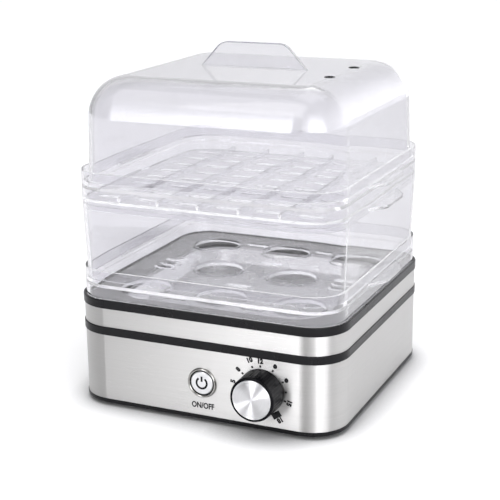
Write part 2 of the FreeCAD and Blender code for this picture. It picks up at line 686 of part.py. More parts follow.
def dial_skirt():
    """Fluted cone, hollow behind, with a hub on the shaft."""
    skirt = Part.makeCone(DIAL_FACE_R, DIAL_R, DIAL_L, vec(DIAL_X, DIAL_FRONT_Y, DIAL_Z), vec(0, 1, 0))
    edges = [edge for edge in skirt.Edges if abs(edge.BoundBox.YMax - DIAL_FRONT_Y) < 1e-4]
    skirt = skirt.makeFillet(DIAL_EDGE_R, edges)
    hollow = Part.makeCone(DIAL_FACE_R - DIAL_WALL, DIAL_R - DIAL_WALL, DIAL_L - DIAL_WEB - FACE_T,
                           vec(DIAL_X, DIAL_FRONT_Y + FACE_T + DIAL_WEB, DIAL_Z), vec(0, 1, 0))
    skirt = skirt.cut(hollow)
    skirt = skirt.cut(rod_y(DIAL_X, DIAL_Z, FACE_R + TOUCH, DIAL_FRONT_Y, DIAL_FRONT_Y + FACE_T / 2))
    hub_end = FRONT_Y - BUSH_PROUD - LOOSE
    hub = rod_y(DIAL_X, DIAL_Z, HUB_R, DIAL_FRONT_Y + FACE_T, hub_end)
    bore_start = DIAL_FRONT_Y + FACE_T + DIAL_WEB
    skirt = skirt.fuse(hub).cut(rod_y(DIAL_X, DIAL_Z, SHAFT_R + TOUCH, bore_start, hub_end))
    flutes = []
    lean = (DIAL_R - DIAL_FACE_R) / DIAL_L
    for index in range(DIAL_FLUTES):
        angle = 2 * math.pi * index / DIAL_FLUTES
        out = vec(math.cos(angle), 0, math.sin(angle))
        reach = DIAL_FACE_R + DIAL_FLUTE_OUT + DIAL_FLUTE_START * lean
        start = vec(DIAL_X, DIAL_FRONT_Y + DIAL_FLUTE_START, DIAL_Z) + out * reach
        along = vec(out.x * lean, 1, out.z * lean)
        flutes.append(Part.makeCylinder(DIAL_FLUTE_R, DIAL_L, start, along))
    return skirt.cut(flutes)


def dial_face():
    y0 = DIAL_FRONT_Y - FACE_T / 2
    face = rod_y(DIAL_X, DIAL_Z, FACE_R, y0, y0 + FACE_T)
    edges = [edge for edge in face.Edges if abs(edge.BoundBox.YMax - y0) < 1e-4]
    return face.makeChamfer(FACE_BEVEL, edges)


def dial_shaft():
    start = DIAL_FRONT_Y + FACE_T + DIAL_WEB + TOUCH
    return rod_y(DIAL_X, DIAL_Z, SHAFT_R, start, POT_Y + POT_L - POT_END_T - SHAFT_SHORT)


def timer_control():
    """Rotary control body with the bush that carries the dial's shaft."""
    body = rod_y(DIAL_X, DIAL_Z, POT_R, POT_Y, BOARD_Y - TOUCH)
    bush = rod_y(DIAL_X, DIAL_Z, BUSH_R, FRONT_Y - BUSH_PROUD, POT_Y)
    bore_r = SHAFT_R + SHAFT_RUN
    bore = rod_y(DIAL_X, DIAL_Z, bore_r, FRONT_Y - BUSH_PROUD, POT_Y + POT_L - POT_END_T)
    return body.fuse(bush).cut(bore)


def bush_nut():
    y0 = FRONT_Y - TOUCH - BUSH_NUT_T
    corners = []
    for index in range(7):
        angle = math.radians(60 * index)
        corners.append(vec(DIAL_X + BUSH_NUT_R * math.cos(angle), y0, DIAL_Z + BUSH_NUT_R * math.sin(angle)))
    nut = Part.Face(Part.makePolygon(corners)).extrude(vec(0, BUSH_NUT_T, 0))
    return nut.cut(rod_y(DIAL_X, DIAL_Z, BUSH_R + TOUCH, y0, y0 + BUSH_NUT_T))


def control_board():
    size = (BOARD_RIGHT - BOARD_LEFT, BOARD_T, BOARD_H)
    return block(size, (BOARD_RIGHT + BOARD_LEFT) / 2, BOARD_Y + BOARD_T / 2, BOARD_Z)


def behind_board(depth):
    """Middle in Y of a thing of that depth that sits on the board's back."""
    return BOARD_Y + BOARD_T + TOUCH + depth / 2


def relay():
    return block(RELAY, RELAY_X, behind_board(RELAY[1]), BOARD_Z + RELAY_UP)


def buzzer():
    y0 = BOARD_Y + BOARD_T + TOUCH
    y1 = y0 + BUZZER_H
    can = rod_y(BUZZER_X, BOARD_Z + BOARD_H / 2, BUZZER_R, y0, y1)
    return can.cut(rod_y(BUZZER_X, BOARD_Z + BOARD_H / 2, BUZZER_HOLE_R, y1 - BUZZER_HOLE_L, y1))


def capacitor():
    y0 = BOARD_Y + BOARD_T + TOUCH
    return rod_y(CAPACITOR_X, BOARD_Z + BOARD_H / 2, CAPACITOR_R, y0, y0 + CAPACITOR_L)


# ---- rear ----
def cable_inlet():
    """Moulded gland in the rear of the lower band."""
    y_in = HALF_D - INLET_BARREL_L
    flange = rod_y(INLET_X, INLET_Z, INLET_FLANGE_R, HALF_D + TOUCH, HALF_D + INLET_FLANGE_T)
    outer = [edge for edge in flange.Edges if abs(edge.BoundBox.YMin - HALF_D - INLET_FLANGE_T) < 1e-4]
    flange = flange.makeFillet(INLET_EDGE_R, outer)
    barrel = rod_y(INLET_X, INLET_Z, INLET_BARREL_R, y_in, HALF_D + TOUCH)
    collar = rod_y(INLET_X, INLET_Z, INLET_FLANGE_R, y_in, HALF_D - BAND_T - TOUCH)
    pan_wall_y = HALF_D - BAND_T - FIT - PAN_WALL_T
    behind_wall = block((4 * INLET_FLANGE_R, 2 * INLET_BARREL_L, PAN_WALL_H + PASS), INLET_X,
                        pan_wall_y + INLET_BARREL_L, STEEL_Z - PASS)
    collar = collar.cut(behind_wall)
    gland = flange.fuse([barrel, collar])
    return gland.cut(rod_y(INLET_X, INLET_Z, INLET_BORE_R, y_in, HALF_D + INLET_FLANGE_T))


def terminal_ways():
    """Middle in X of each of the block's ways."""
    step = TERMINAL[0] / TERMINAL_WAYS
    return [TERMINAL_X + (index - (TERMINAL_WAYS - 1) / 2) * step for index in range(TERMINAL_WAYS)]


def terminal_block():
    y = HALF_D - TERMINAL_SETBACK
    body = block(TERMINAL, TERMINAL_X, y, PAN_FLOOR_Z)
    well_z = PAN_FLOOR_Z + TERMINAL[2] - TERMINAL_WELL_L
    wire_z = PAN_FLOOR_Z + TERMINAL[2] / 2
    for x in terminal_ways():
        body = body.cut(rod(x, y, well_z, TERMINAL_WELL_R, TERMINAL_WELL_L))
        body = body.cut(rod_y(x, wire_z, TERMINAL_WIRE_R, y - TERMINAL[1], y + TERMINAL[1]))
    return body


def terminal_screws():
    y = HALF_D - TERMINAL_SETBACK
    z0 = PAN_FLOOR_Z + TERMINAL[2] - TERMINAL_WELL_L + TOUCH
    slot_h = TERMINAL_SCREW_L / 3
    screws = []
    for x in terminal_ways():
        slot = block((3 * TERMINAL_SCREW_R, DRIVER_SLOT_W, slot_h), x, y, z0 + TERMINAL_SCREW_L - slot_h)
        screws.append(rod(x, y, z0, TERMINAL_SCREW_R, TERMINAL_SCREW_L).cut(slot))
    return group(screws)


def base_screws():
    head_z = PAN_Z + SCREW_HEAD_H + FIT
    length = BOSS_TOP_Z + BASE_SCREW_GRIP - SCREW_SPARE - head_z
    return group([screw(x, y, head_z, SCREW_R, SCREW_HEAD_R, SCREW_HEAD_H, length) for x, y in POST_AT])


# ---- clear stack ----
def tab_pair(inset, z_top):
    """Two flat lugs, left and right, that stand out from the wall at the given inset."""
    lugs = []
    root = HALF_W - inset - ROOT
    tip = HALF_W - TRAY_INSET + TAB_OUT
    for side in (-1, 1):
        points = [(root, -TAB_BASE / 2), (tip, -TAB_TIP / 2), (tip, TAB_TIP / 2), (root, TAB_BASE / 2)]
        corners = [vec(side * x, y, z_top - TAB_T) for x, y in points]
        lug = Part.Face(Part.makePolygon(corners + corners[:1])).extrude(vec(0, 0, TAB_T))
        uprights = []
        for edge in lug.Edges:
            bounds = edge.BoundBox
            if bounds.ZLength > TAB_T / 2 and abs(bounds.Center.x) > tip - 0.1:
                uprights.append(edge)
        lugs.append(lug.makeFillet(TAB_CORNER_R, uprights))
    return lugs


def tray_shell(z0, height):
    """Low wall with a shelf and a thin upright rim, a floor, and two lugs."""
    top = z0 + height
    step = top - TRAY_RIM_H
    wall = prism(TRAY_INSET, z0, top)
    body = wall.fuse(tab_pair(TRAY_INSET, step))
    body = body.cut(prism(TRAY_INSET + TRAY_RIM_T, step, top))
    shelf = TRAY_INSET + TRAY_STEP_T
    shelf_bottom = step - TRAY_STEP_H
    body = body.cut(prism(shelf, shelf_bottom, step))
    slope_bottom = shelf_bottom - TRAY_STEP_T + TRAY_WALL_T
    inner = TRAY_INSET + TRAY_WALL_T
    body = body.cut(flared(inner, slope_bottom, shelf, shelf_bottom))
    floor_top = z0 + TRAY_FLOOR_UP + TRAY_FLOOR_T
    body = body.cut(prism(inner, floor_top, slope_bottom))
    return body.cut(prism(inner, z0, z0 + TRAY_FLOOR_UP))


def egg_places():
    """Eight places in rows of three, two and three."""
    places = [(column * EGG_PITCH, row * EGG_PITCH) for row in (-1, 1) for column in (-1, 0, 1)]
    return places + [(side * EGG_PITCH / 2, 0) for side in (-1, 1)]


def lower_tray():
    tray = tray_shell(LOWER_TRAY_Z, LOWER_TRAY_H)
    low = LOWER_TRAY_Z + TRAY_FLOOR_UP
    high = low + TRAY_FLOOR_T + EGG_LIP_H
    for x, y in egg_places():
        tray = tray.fuse(rod(x, y, low, EGG_HOLE_R + EGG_LIP_T, high - low))
    for x, y in egg_places():
        tray = tray.cut(rod(x, y, low, EGG_HOLE_R, high - low))
    front = EGG_PITCH + EGG_SLOT_BEYOND
    middle = EGG_PITCH / 2
    spots = [(side * middle, row * front) for side in (-1, 1) for row in (-1, 1)]
    spots += [(0, row * middle) for row in (-1, 1)]
    spots += [(side * EGG_SLOT_SIDE, row * EGG_SLOT_PITCH) for side in (-1, 1) for row in (-1, 0, 1)]
    for x, y in spots:
        tray = tray.cut(stadium(x, y, SLOT_LENGTH, SLOT_WIDTH, low, high))
    return tray


def spacer_ring():
    outer = flared(RING_BOTTOM_INSET, RING_Z, TRAY_INSET, RING_TOP_Z)
    ring = outer.fuse(tab_pair(TRAY_INSET, RING_TOP_Z))
    return ring.cut(flared(RING_BOTTOM_INSET + RING_T, RING_Z, TRAY_INSET + RING_T, RING_TOP_Z))


def upper_tray():
    tray = tray_shell(UPPER_TRAY_Z, UPPER_TRAY_H)
    low = UPPER_TRAY_Z + TRAY_FLOOR_UP
    high = low + TRAY_FLOOR_T
    lean = (RING_BOTTOM_INSET - TRAY_INSET) * PLUG_DEPTH / RING_H
    skirt_inset = TRAY_INSET + RING_T + lean + LOOSE
    skirt = prism(skirt_inset, UPPER_TRAY_Z - PLUG_DEPTH, low).cut(
        prism(skirt_inset + PLUG_T, UPPER_TRAY_Z - PLUG_DEPTH, low))
    tray = tray.fuse(skirt)
    inner_half = HALF_D - TRAY_INSET - TRAY_WALL_T + ROOT
    for index in range(1, CELL_COUNT):
        x = (index - CELL_COUNT / 2) * CELL_PITCH
        tray = tray.fuse(block((RIB_T, 2 * inner_half, RIB_H + ROOT), x, 0, high - ROOT))
    for column in range(CELL_COUNT):
        x = (column - (CELL_COUNT - 1) / 2) * CELL_PITCH
        for row in range(SLOT_ROWS):
            y = (row - (SLOT_ROWS - 1) / 2) * SLOT_ROW_PITCH
            tray = tray.cut(stadium(x, y, SLOT_LENGTH, SLOT_WIDTH, low, high))
    return tray


def dome(inset, z0, z1, corner, edge_r):
    """Upturned box with leaning walls and a large round along its top edges."""
    body = flared(inset, z0, inset + LID_DRAFT, z1, corner + inset, corner + inset + LID_DRAFT / 2)
    rim = [edge for edge in body.Edges if abs(edge.BoundBox.ZMin - z1) < 1e-3]
    return body.makeFillet(edge_r, rim)


def handle():
    """Upright plate with slanted ends that stands across the lid."""
    half_base = HANDLE_BASE / 2
    half_tip = HANDLE_TIP / 2
    foot = LID_TOP_Z - LID_T / 2
    slope = (half_base - half_tip) / HANDLE_H
    root = half_base + slope * LID_T / 2
    tip = LID_TOP_Z + HANDLE_H
    points = [(-root, foot), (root, foot), (half_tip, tip), (-half_tip, tip)]
    corners = [vec(x, -HANDLE_T / 2, z) for x, z in points]
    plate_face = Part.Face(Part.makePolygon(corners + corners[:1]))
    body = plate_face.extrude(vec(0, HANDLE_T, 0))
    tips = [edge for edge in body.Edges
            if edge.BoundBox.YLength > HANDLE_T / 2 and edge.BoundBox.ZMin > tip - TOUCH]
    return body.makeFillet(HANDLE_CORNER_R, tips)


def lid():
    outer = dome(LID_INSET, LID_Z, LID_TOP_Z, LID_CORNER_R, LID_EDGE_R)
    inner = dome(LID_INSET + LID_T, LID_Z, LID_TOP_Z - LID_T, LID_CORNER_R - LID_T, LID_EDGE_R - LID_T)
    shell = outer.fuse(handle()).cut(inner)
    vent_z = LID_TOP_Z - 3 * LID_T
    for side in (-1, 1):
        shell = shell.cut(rod(VENT_HOLE_X, side * VENT_HOLE_Y, vent_z, VENT_HOLE_R, 4 * LID_T))
    return shell


PIECES = [base_pan, rubber_feet, lower_band, mid_trim, upper_band, top_rim, dish_seal,
          heating_dish, dish_clips, clip_screws, heater_plate, heating_element, heat_shield,
          shield_screws, thermostat, thermostat_screws, thermal_fuse, button_bezel, bezel_nut,
          button_cap, button_spring, push_switch, dial_skirt, dial_face, dial_shaft, timer_control,
          bush_nut, control_board, relay, buzzer, capacitor, cable_inlet, terminal_block,
          terminal_screws, base_screws, lower_tray, spacer_ring, upper_tray, lid]

for piece in PIECES:
    save(piece.__name__, piece())
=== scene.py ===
"""Looks of a stacking egg cooker: a steel base with a dial and a button, clear trays, a ring and a lid."""

import json
import logging
import math
from dataclasses import dataclass
from enum import Enum

import bmesh
import bpy
import numpy as np
from mathutils import Matrix, Vector

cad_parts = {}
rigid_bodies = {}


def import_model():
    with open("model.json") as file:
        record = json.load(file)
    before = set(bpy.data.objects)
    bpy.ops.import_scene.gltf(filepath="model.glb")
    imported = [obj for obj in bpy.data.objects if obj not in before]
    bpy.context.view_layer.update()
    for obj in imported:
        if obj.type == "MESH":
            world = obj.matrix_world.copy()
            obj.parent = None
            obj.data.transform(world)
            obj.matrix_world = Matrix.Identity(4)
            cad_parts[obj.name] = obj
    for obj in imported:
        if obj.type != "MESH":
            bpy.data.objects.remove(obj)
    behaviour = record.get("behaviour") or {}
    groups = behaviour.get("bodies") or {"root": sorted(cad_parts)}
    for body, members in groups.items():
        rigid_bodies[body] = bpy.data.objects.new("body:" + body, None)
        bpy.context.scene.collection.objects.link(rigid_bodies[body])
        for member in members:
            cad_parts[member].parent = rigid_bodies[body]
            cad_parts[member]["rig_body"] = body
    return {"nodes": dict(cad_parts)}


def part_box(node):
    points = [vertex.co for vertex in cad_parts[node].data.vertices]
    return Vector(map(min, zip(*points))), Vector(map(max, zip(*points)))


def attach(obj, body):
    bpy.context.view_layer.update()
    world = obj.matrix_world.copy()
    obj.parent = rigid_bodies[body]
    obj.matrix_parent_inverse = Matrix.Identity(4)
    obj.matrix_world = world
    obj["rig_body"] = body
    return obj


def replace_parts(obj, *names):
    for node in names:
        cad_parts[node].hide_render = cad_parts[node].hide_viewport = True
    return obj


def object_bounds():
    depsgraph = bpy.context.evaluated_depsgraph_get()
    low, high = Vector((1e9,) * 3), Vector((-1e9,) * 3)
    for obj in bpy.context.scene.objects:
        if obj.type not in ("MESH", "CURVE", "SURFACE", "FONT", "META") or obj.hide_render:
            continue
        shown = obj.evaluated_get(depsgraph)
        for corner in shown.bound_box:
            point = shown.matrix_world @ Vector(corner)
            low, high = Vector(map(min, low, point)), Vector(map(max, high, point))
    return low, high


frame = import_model()
cad_low, cad_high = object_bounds()

LOG = logging.getLogger("egg_cooker")
MM = 0.001
MERGE = 1e-6
Colour = tuple[float, float, float]
Point = tuple[float, float, float]
Steps = tuple[tuple[float, float], ...]


# ---------------------------------------------------------------- node sketches and shared effects


class Sketch:
    """A node tree that is drawn one node at a time."""

    def __init__(self, tree: bpy.types.NodeTree) -> None:
        """Takes the tree that the nodes go into."""
        self.tree = tree

    def add(self, kind: str, inputs: dict[str | int, object] | None = None,
            **settings: object) -> bpy.types.Node:
        """Adds one node.

        Args:
            kind: the node's type without its ShaderNode prefix.
            inputs: socket names or numbers, each with a constant or with an output to link.
            settings: the node's own options.

        Returns:
            The new node.
        """
        node = self.tree.nodes.new("ShaderNode" + kind)
        for name, value in settings.items():
            setattr(node, name, value)
        for name, value in (inputs or {}).items():
            if isinstance(value, bpy.types.NodeSocket):
                self.tree.links.new(value, node.inputs[name])
            else:
                node.inputs[name].default_value = value
        return node

    def maths(self, operation: str, first: object, second: object = 0.0,
              third: object = 0.0) -> bpy.types.NodeSocket:
        """Returns the output of one Math node on up to three values."""
        return self.add("Math", {0: first, 1: second, 2: third}, operation=operation).outputs[0]

    def fit(self, value: object, low: float, high: float, to_low: float,
            to_high: float) -> bpy.types.NodeSocket:
        """Returns value carried from low..high to to_low..to_high, and held there."""
        limits = {"Value": value, "From Min": low, "From Max": high, "To Min": to_low, "To Max": to_high}
        return self.add("MapRange", limits).outputs["Result"]

    def blend(self, share: object, first: object, second: object) -> bpy.types.NodeSocket:
        """Returns the colour that lies between first and second by share."""
        return self.add("Mix", {"Factor": share, "A": first, "B": second}, data_type="RGBA").outputs[2]

    def stretched(self, vector: object, scale: Point, turn: Point) -> bpy.types.NodeSocket:
        """Returns the vector turned and scaled on each axis."""
        return self.add("Mapping", {"Vector": vector, "Scale": scale, "Rotation": turn}).outputs[0]

    def noise(self, vector: object, scale: object, detail: float,
              roughness: float = 0.5) -> bpy.types.NodeSocket:
        """Returns a noise value at the vector."""
        wanted = {"Vector": vector, "Scale": scale, "Detail": detail, "Roughness": roughness}
        return self.add("TexNoise", wanted).outputs["Fac"]


def effect(name: str, inputs: dict[str, float], outputs: tuple[str, ...]) -> tuple[Sketch, dict, dict]:
    """Starts a shared effect: a node group that takes a Vector and named numbers and puts out named values.

    Args:
        name: the group's name.
        inputs: each number's name and its starting value.
        outputs: the names of the values.

    Returns:
        The sketch of its tree, its inputs by name and the output sockets to fill by name.
    """
    tree = bpy.data.node_groups.new(name, "ShaderNodeTree")
    tree.interface.new_socket("Vector", in_out="INPUT", socket_type="NodeSocketVector")
    for key, start in inputs.items():
        tree.interface.new_socket(key, in_out="INPUT", socket_type="NodeSocketFloat").default_value = start
    for key in outputs:
        tree.interface.new_socket(key, in_out="OUTPUT", socket_type="NodeSocketFloat")
    entry = tree.nodes.new("NodeGroupInput")
    result = tree.nodes.new("NodeGroupOutput")
    return Sketch(tree), {s.name: s for s in entry.outputs}, {s.name: s for s in result.inputs}


class Effects:
    """The effects that several finishes share, each a node group that is built once."""

    def __init__(self) -> None:
        """Builds the groups."""
        self.grain = self.make_grain()
        self.brushing = self.make_brushing()
        self.handling = self.make_handling()

    @staticmethod
    def make_grain() -> bpy.types.NodeTree:
        """Returns a moulded face's grain: fine pits over slow waves, as Height, and blotches, as Tone."""
        sketch, given, out = effect("moulded_grain", {"Size": 0.0004}, ("Height", "Tone"))
        density = sketch.maths("DIVIDE", 1.0, given["Size"])
        pits = sketch.noise(given["Vector"], density, 3.0, 0.6)
        waves = sketch.noise(given["Vector"], sketch.maths("MULTIPLY", density, 0.03), 1.0)
        height = sketch.maths("MULTIPLY_ADD", waves, 2.0, pits)
        sketch.tree.links.new(height, out["Height"])
        sketch.tree.links.new(sketch.fit(waves, 0.3, 0.7, 0.0, 1.0), out["Tone"])
        return sketch.tree

    @staticmethod
    def make_brushing() -> bpy.types.NodeTree:
        """Returns a metal's brushing: long thin lines along the vector's X, as Height, and bands, as Tone."""
        sketch, given, out = effect("brushed_lines", {"Line": 0.0003, "Length": 0.03}, ("Height", "Tone"))
        across = sketch.maths("DIVIDE", 1.0, given["Line"])
        along = sketch.maths("DIVIDE", 1.0, given["Length"])
        scale = sketch.add("CombineXYZ", {"X": along, "Y": across, "Z": across}).outputs[0]
        placed = sketch.add("VectorMath", {0: given["Vector"], 1: scale}, operation="MULTIPLY").outputs[0]
        lines = sketch.noise(placed, 1.0, 4.0, 0.65)
        bands = sketch.noise(placed, 0.16, 2.0, 0.5)
        sketch.tree.links.new(lines, out["Height"])
        half_lines = sketch.maths("MULTIPLY", lines, 0.5)
        sketch.tree.links.new(sketch.maths("MULTIPLY_ADD", bands, 0.5, half_lines), out["Tone"])
        return sketch.tree

    @staticmethod
    def make_handling() -> bpy.types.NodeTree:
        """Returns marks of use: wiped smears, as Smear, and sparse hairline scratches, as Scratch."""
        sketch, given, out = effect("handling_marks", {"Size": 0.03}, ("Smear", "Scratch"))
        density = sketch.maths("DIVIDE", 1.0, given["Size"])
        smear = sketch.noise(given["Vector"], density, 4.0, 0.55)
        hair_scale = (40.0, 2600.0, 2600.0)
        hairs = []
        for turn in ((0.3, 0.5, 0.7), (1.1, 0.4, -0.9)):
            drawn = sketch.noise(sketch.stretched(given["Vector"], hair_scale, turn), 1.0, 0.0)
            hairs.append(sketch.fit(drawn, 0.74, 0.8, 0.0, 1.0))
        sketch.tree.links.new(sketch.fit(smear, 0.35, 0.7, 0.0, 1.0), out["Smear"])
        sketch.tree.links.new(sketch.maths("MAXIMUM", *hairs), out["Scratch"])
        return sketch.tree


EFFECTS = Effects()


# ---------------------------------------------------------------- finishes


@dataclass(frozen=True)
class Finish:
    """What every finish has: a name, a colour, a roughness, and the constants on its shader."""

    name: str
    colour: Colour
    roughness: float
    metallic: float = 0.0
    constants: tuple[tuple[str, float], ...] = ()

    def make(self) -> bpy.types.Material:
        """Returns the finish as a material, with its pattern drawn."""
        material = bpy.data.materials.new(self.name)
        material.use_nodes = True
        material.diffuse_color = (*self.colour, 1.0)
        sketch = Sketch(material.node_tree)
        shader = material.node_tree.nodes["Principled BSDF"]
        shader.inputs["Base Color"].default_value = (*self.colour, 1.0)
        shader.inputs["Roughness"].default_value = self.roughness
        shader.inputs["Metallic"].default_value = self.metallic
        for socket, value in self.constants:
            shader.inputs[socket].default_value = value
        self.draw(sketch, shader)
        return material

    def draw(self, sketch: Sketch, shader: bpy.types.Node) -> None:
        """Draws the pattern that feeds the shader."""

    def shade(self, factor: float) -> tuple[float, float, float, float]:
        """Returns the colour made darker or lighter by a factor."""
        return (*(min(1.0, part * factor) for part in self.colour), 1.0)

    @staticmethod
    def place(sketch: Sketch, layout: str = "") -> bpy.types.NodeSocket:
        """Returns Object coordinates, or the named UV map's."""
        if layout:
            return sketch.add("UVMap", uv_map=layout).outputs[0]
        return sketch.add("TexCoord").outputs["Object"]

    @staticmethod
    def shared(sketch: Sketch, tree: bpy.types.NodeTree, vector: object, **numbers: float) -> bpy.types.Node:
        """Returns a shared effect placed in the sketch with its own numbers."""
        node = sketch.add("Group", node_tree=tree)
        sketch.tree.links.new(vector, node.inputs["Vector"])
        for key, value in numbers.items():
            node.inputs[key].default_value = value
        return node

    def mottle(self, sketch: Sketch, shader: bpy.types.Node, share: object, spread: float) -> None:
        """Feeds the shader's colour: darker to lighter than the finish's by the spread, as share grows."""
        tone = sketch.blend(share, self.shade(1.0 - spread), self.shade(1.0 + spread))
        sketch.tree.links.new(tone, shader.inputs["Base Color"])

    @staticmethod
    def wear(sketch: Sketch, shader: bpy.types.Node, marks: bpy.types.Node, limits: tuple[float, float],
             scratch: float) -> None:
        """Feeds the shader's roughness: between the limits by the smears, and more on the scratches."""
        gloss = sketch.fit(marks.outputs["Smear"], 0.0, 1.0, *limits)
        scratched = sketch.maths("MULTIPLY_ADD", marks.outputs["Scratch"], scratch, gloss)
        sketch.tree.links.new(scratched, shader.inputs["Roughness"])

    @staticmethod
    def raise_bump(sketch: Sketch, shader: bpy.types.Node, height: object, depth: float) -> None:
        """Feeds a height, of this depth in metres, to the shader's normal."""
        bump = sketch.add("Bump", {"Height": height, "Distance": depth, "Strength": 1.0})
        sketch.tree.links.new(bump.outputs[0], shader.inputs["Normal"])


@dataclass(frozen=True)
class Moulded(Finish):
    """Moulded plastic or rubber: fine grain, blotches in the colour, and wiped smears in the gloss."""

    grain: float = 0.0004
    depth: float = 0.00002
    variation: float = 0.08
    smear: float = 0.08

    def draw(self, sketch: Sketch, shader: bpy.types.Node) -> None:
        """Draws grain, blotches and smears."""
        place = self.place(sketch)
        grain = self.shared(sketch, EFFECTS.grain, place, Size=self.grain)
        marks = self.shared(sketch, EFFECTS.handling, place, Size=0.04)
        self.mottle(sketch, shader, grain.outputs["Tone"], self.variation)
        self.wear(sketch, shader, marks, (self.roughness, self.roughness + self.smear), 0.12)
        self.raise_bump(sketch, shader, grain.outputs["Height"], self.depth)


@dataclass(frozen=True)
class Paper(Finish):
    """Background paper: it glows a little where it is looked at directly, with a painted contact shadow round
    what stands on it.
    """

    lift: float = 0.14
    reach: float = 0.03

    def draw(self, sketch: Sketch, shader: bpy.types.Node) -> None:
        """Draws the paper's glow, and the painted contact shadow: darker colour and less glow where something
        stands on it.
        """
        painted_shadow_ao = sketch.add("AmbientOcclusion", {"Distance": self.reach}, samples=8).outputs["AO"]
        # painted contact shadow: the floor's colour darkens where something stands close above it
        tone = sketch.blend(sketch.fit(painted_shadow_ao, 0.25, 0.85, 0.0, 1.0), self.shade(0.35), self.shade(1.0))
        sketch.tree.links.new(tone, shader.inputs["Base Color"])
        shader.inputs["Emission Color"].default_value = (1.0, 1.0, 1.0, 1.0)
        seen = sketch.add("LightPath").outputs["Is Camera Ray"]
        # the glow fades out inside the painted contact shadow
        glow = sketch.maths("MULTIPLY", seen, sketch.fit(painted_shadow_ao, 0.5, 1.0, 0.0, self.lift))
        sketch.tree.links.new(glow, shader.inputs["Emission Strength"])


@dataclass(frozen=True)
class Brushed(Finish):
    """Brushed or spun metal: lines along one way, with the gloss drawn out across them."""

    layout: str = ""
    line: float = 0.0003
    length: float = 0.03
    depth: float = 0.000004
    contrast: float = 0.12
    across: float = 0.25

    def draw(self, sketch: Sketch, shader: bpy.types.Node) -> None:
        """Draws the lines in the colour, the gloss and the height, and turns the gloss along them."""
        place = self.place(sketch, self.layout)
        lines = self.shared(sketch, EFFECTS.brushing, place, Line=self.line, Length=self.length)
        marks = self.shared(sketch, EFFECTS.handling, place, Size=0.05)
        self.mottle(sketch, shader, sketch.fit(lines.outputs["Tone"], 0.35, 0.65, 0.0, 1.0), self.contrast)
        rough = sketch.fit(lines.outputs["Height"], 0.3, 0.7, self.roughness * 0.8, self.roughness * 1.2)
        smeared = sketch.maths("MULTIPLY_ADD", marks.outputs["Smear"], 0.05, rough)
        sketch.tree.links.new(smeared, shader.inputs["Roughness"])
        self.raise_bump(sketch, shader, lines.outputs["Height"], self.depth)
        if self.layout:
            tangent = sketch.add("Tangent", direction_type="UV_MAP", uv_map=self.layout)
            shader.inputs["Anisotropic Rotation"].default_value = self.across
            sketch.tree.links.new(tangent.outputs[0], shader.inputs["Tangent"])


@dataclass(frozen=True)
class Sheet(Finish):
    """Plain metal, pressed, cast or plated: mottled gloss, fine pits and a few hairline scratches."""

    grain: float = 0.0012
    depth: float = 0.00001
    variation: float = 0.06

    def draw(self, sketch: Sketch, shader: bpy.types.Node) -> None:
        """Draws the mottle, the pits and the scratches."""
        place = self.place(sketch)
        grain = self.shared(sketch, EFFECTS.grain, place, Size=self.grain)
        marks = self.shared(sketch, EFFECTS.handling, place, Size=0.02)
        self.mottle(sketch, shader, grain.outputs["Tone"], self.variation)
        self.wear(sketch, shader, marks, (self.roughness * 0.8, self.roughness * 1.3), 0.1)
        self.raise_bump(sketch, shader, grain.outputs["Height"], self.depth)


@dataclass(frozen=True)
class Clear(Finish):
    """Clear plastic: slow waves in its face, faint smears and scratches in its gloss, and painted shade: a
    darker tint where upright faces are seen at a glancing angle.

    A ray that carries shadow, or has been scattered, mirrored or bent more than bends times, passes almost
    straight through, and only the ghost share of it meets the surface.
    """

    waviness: float = 0.00001
    wave_scale: float = 45.0
    ghost: float = 0.12
    bends: float = 6.5
    # the painted shade's colour on glancing upright faces
    edge: Colour = (0.08, 0.075, 0.1)

    def draw(self, sketch: Sketch, shader: bpy.types.Node) -> None:
        """Draws the waves, the smears, the scratches, the painted glancing shade and what passes straight
        through.
        """
        place = self.place(sketch)
        path = sketch.add("LightPath").outputs
        scattered = sketch.maths("GREATER_THAN", path["Diffuse Depth"], 0.5)
        lit = sketch.maths("MAXIMUM", path["Is Shadow Ray"], scattered)
        bent = sketch.maths("GREATER_THAN", path["Transmission Depth"], self.bends)
        mirrored = sketch.maths("GREATER_THAN", path["Glossy Depth"], 0.5)
        straight = sketch.maths("MAXIMUM", lit, sketch.maths("MAXIMUM", bent, mirrored))
        sketch.tree.links.new(sketch.fit(straight, 0.0, 1.0, 1.0, self.ghost), shader.inputs["Alpha"])
        marks = self.shared(sketch, EFFECTS.handling, place, Size=0.05)
        self.wear(sketch, shader, marks, (self.roughness, self.roughness + 0.03), 0.08)
        self.raise_bump(sketch, shader, sketch.noise(place, self.wave_scale, 1.0), self.waviness)
        # painted shade: the colour darkens towards the edge colour on glancing upright faces
        tone = sketch.blend(self.glancing_shade_mask(sketch), (*self.colour, 1.0), (*self.edge, 1.0))
        sketch.tree.links.new(tone, shader.inputs["Base Color"])

    @staticmethod
    def glancing_shade_mask(sketch: Sketch) -> bpy.types.NodeSocket:
        """Returns the painted shade's mask: the glancing parts of upright faces, darkened as if light crossed
        more wall.
        """
        glancing = sketch.fit(sketch.add("LayerWeight", {"Blend": 0.5}).outputs["Facing"], 0.6, 1.0, 0.0, 1.0)
        normal = sketch.add("NewGeometry").outputs["Normal"]
        tilt = sketch.maths("ABSOLUTE", sketch.add("SeparateXYZ", {0: normal}).outputs["Z"])
        upright = sketch.fit(tilt, 0.5, 0.85, 1.0, 0.0)
        return sketch.maths("MULTIPLY", sketch.maths("POWER", glancing, 1.2), upright)


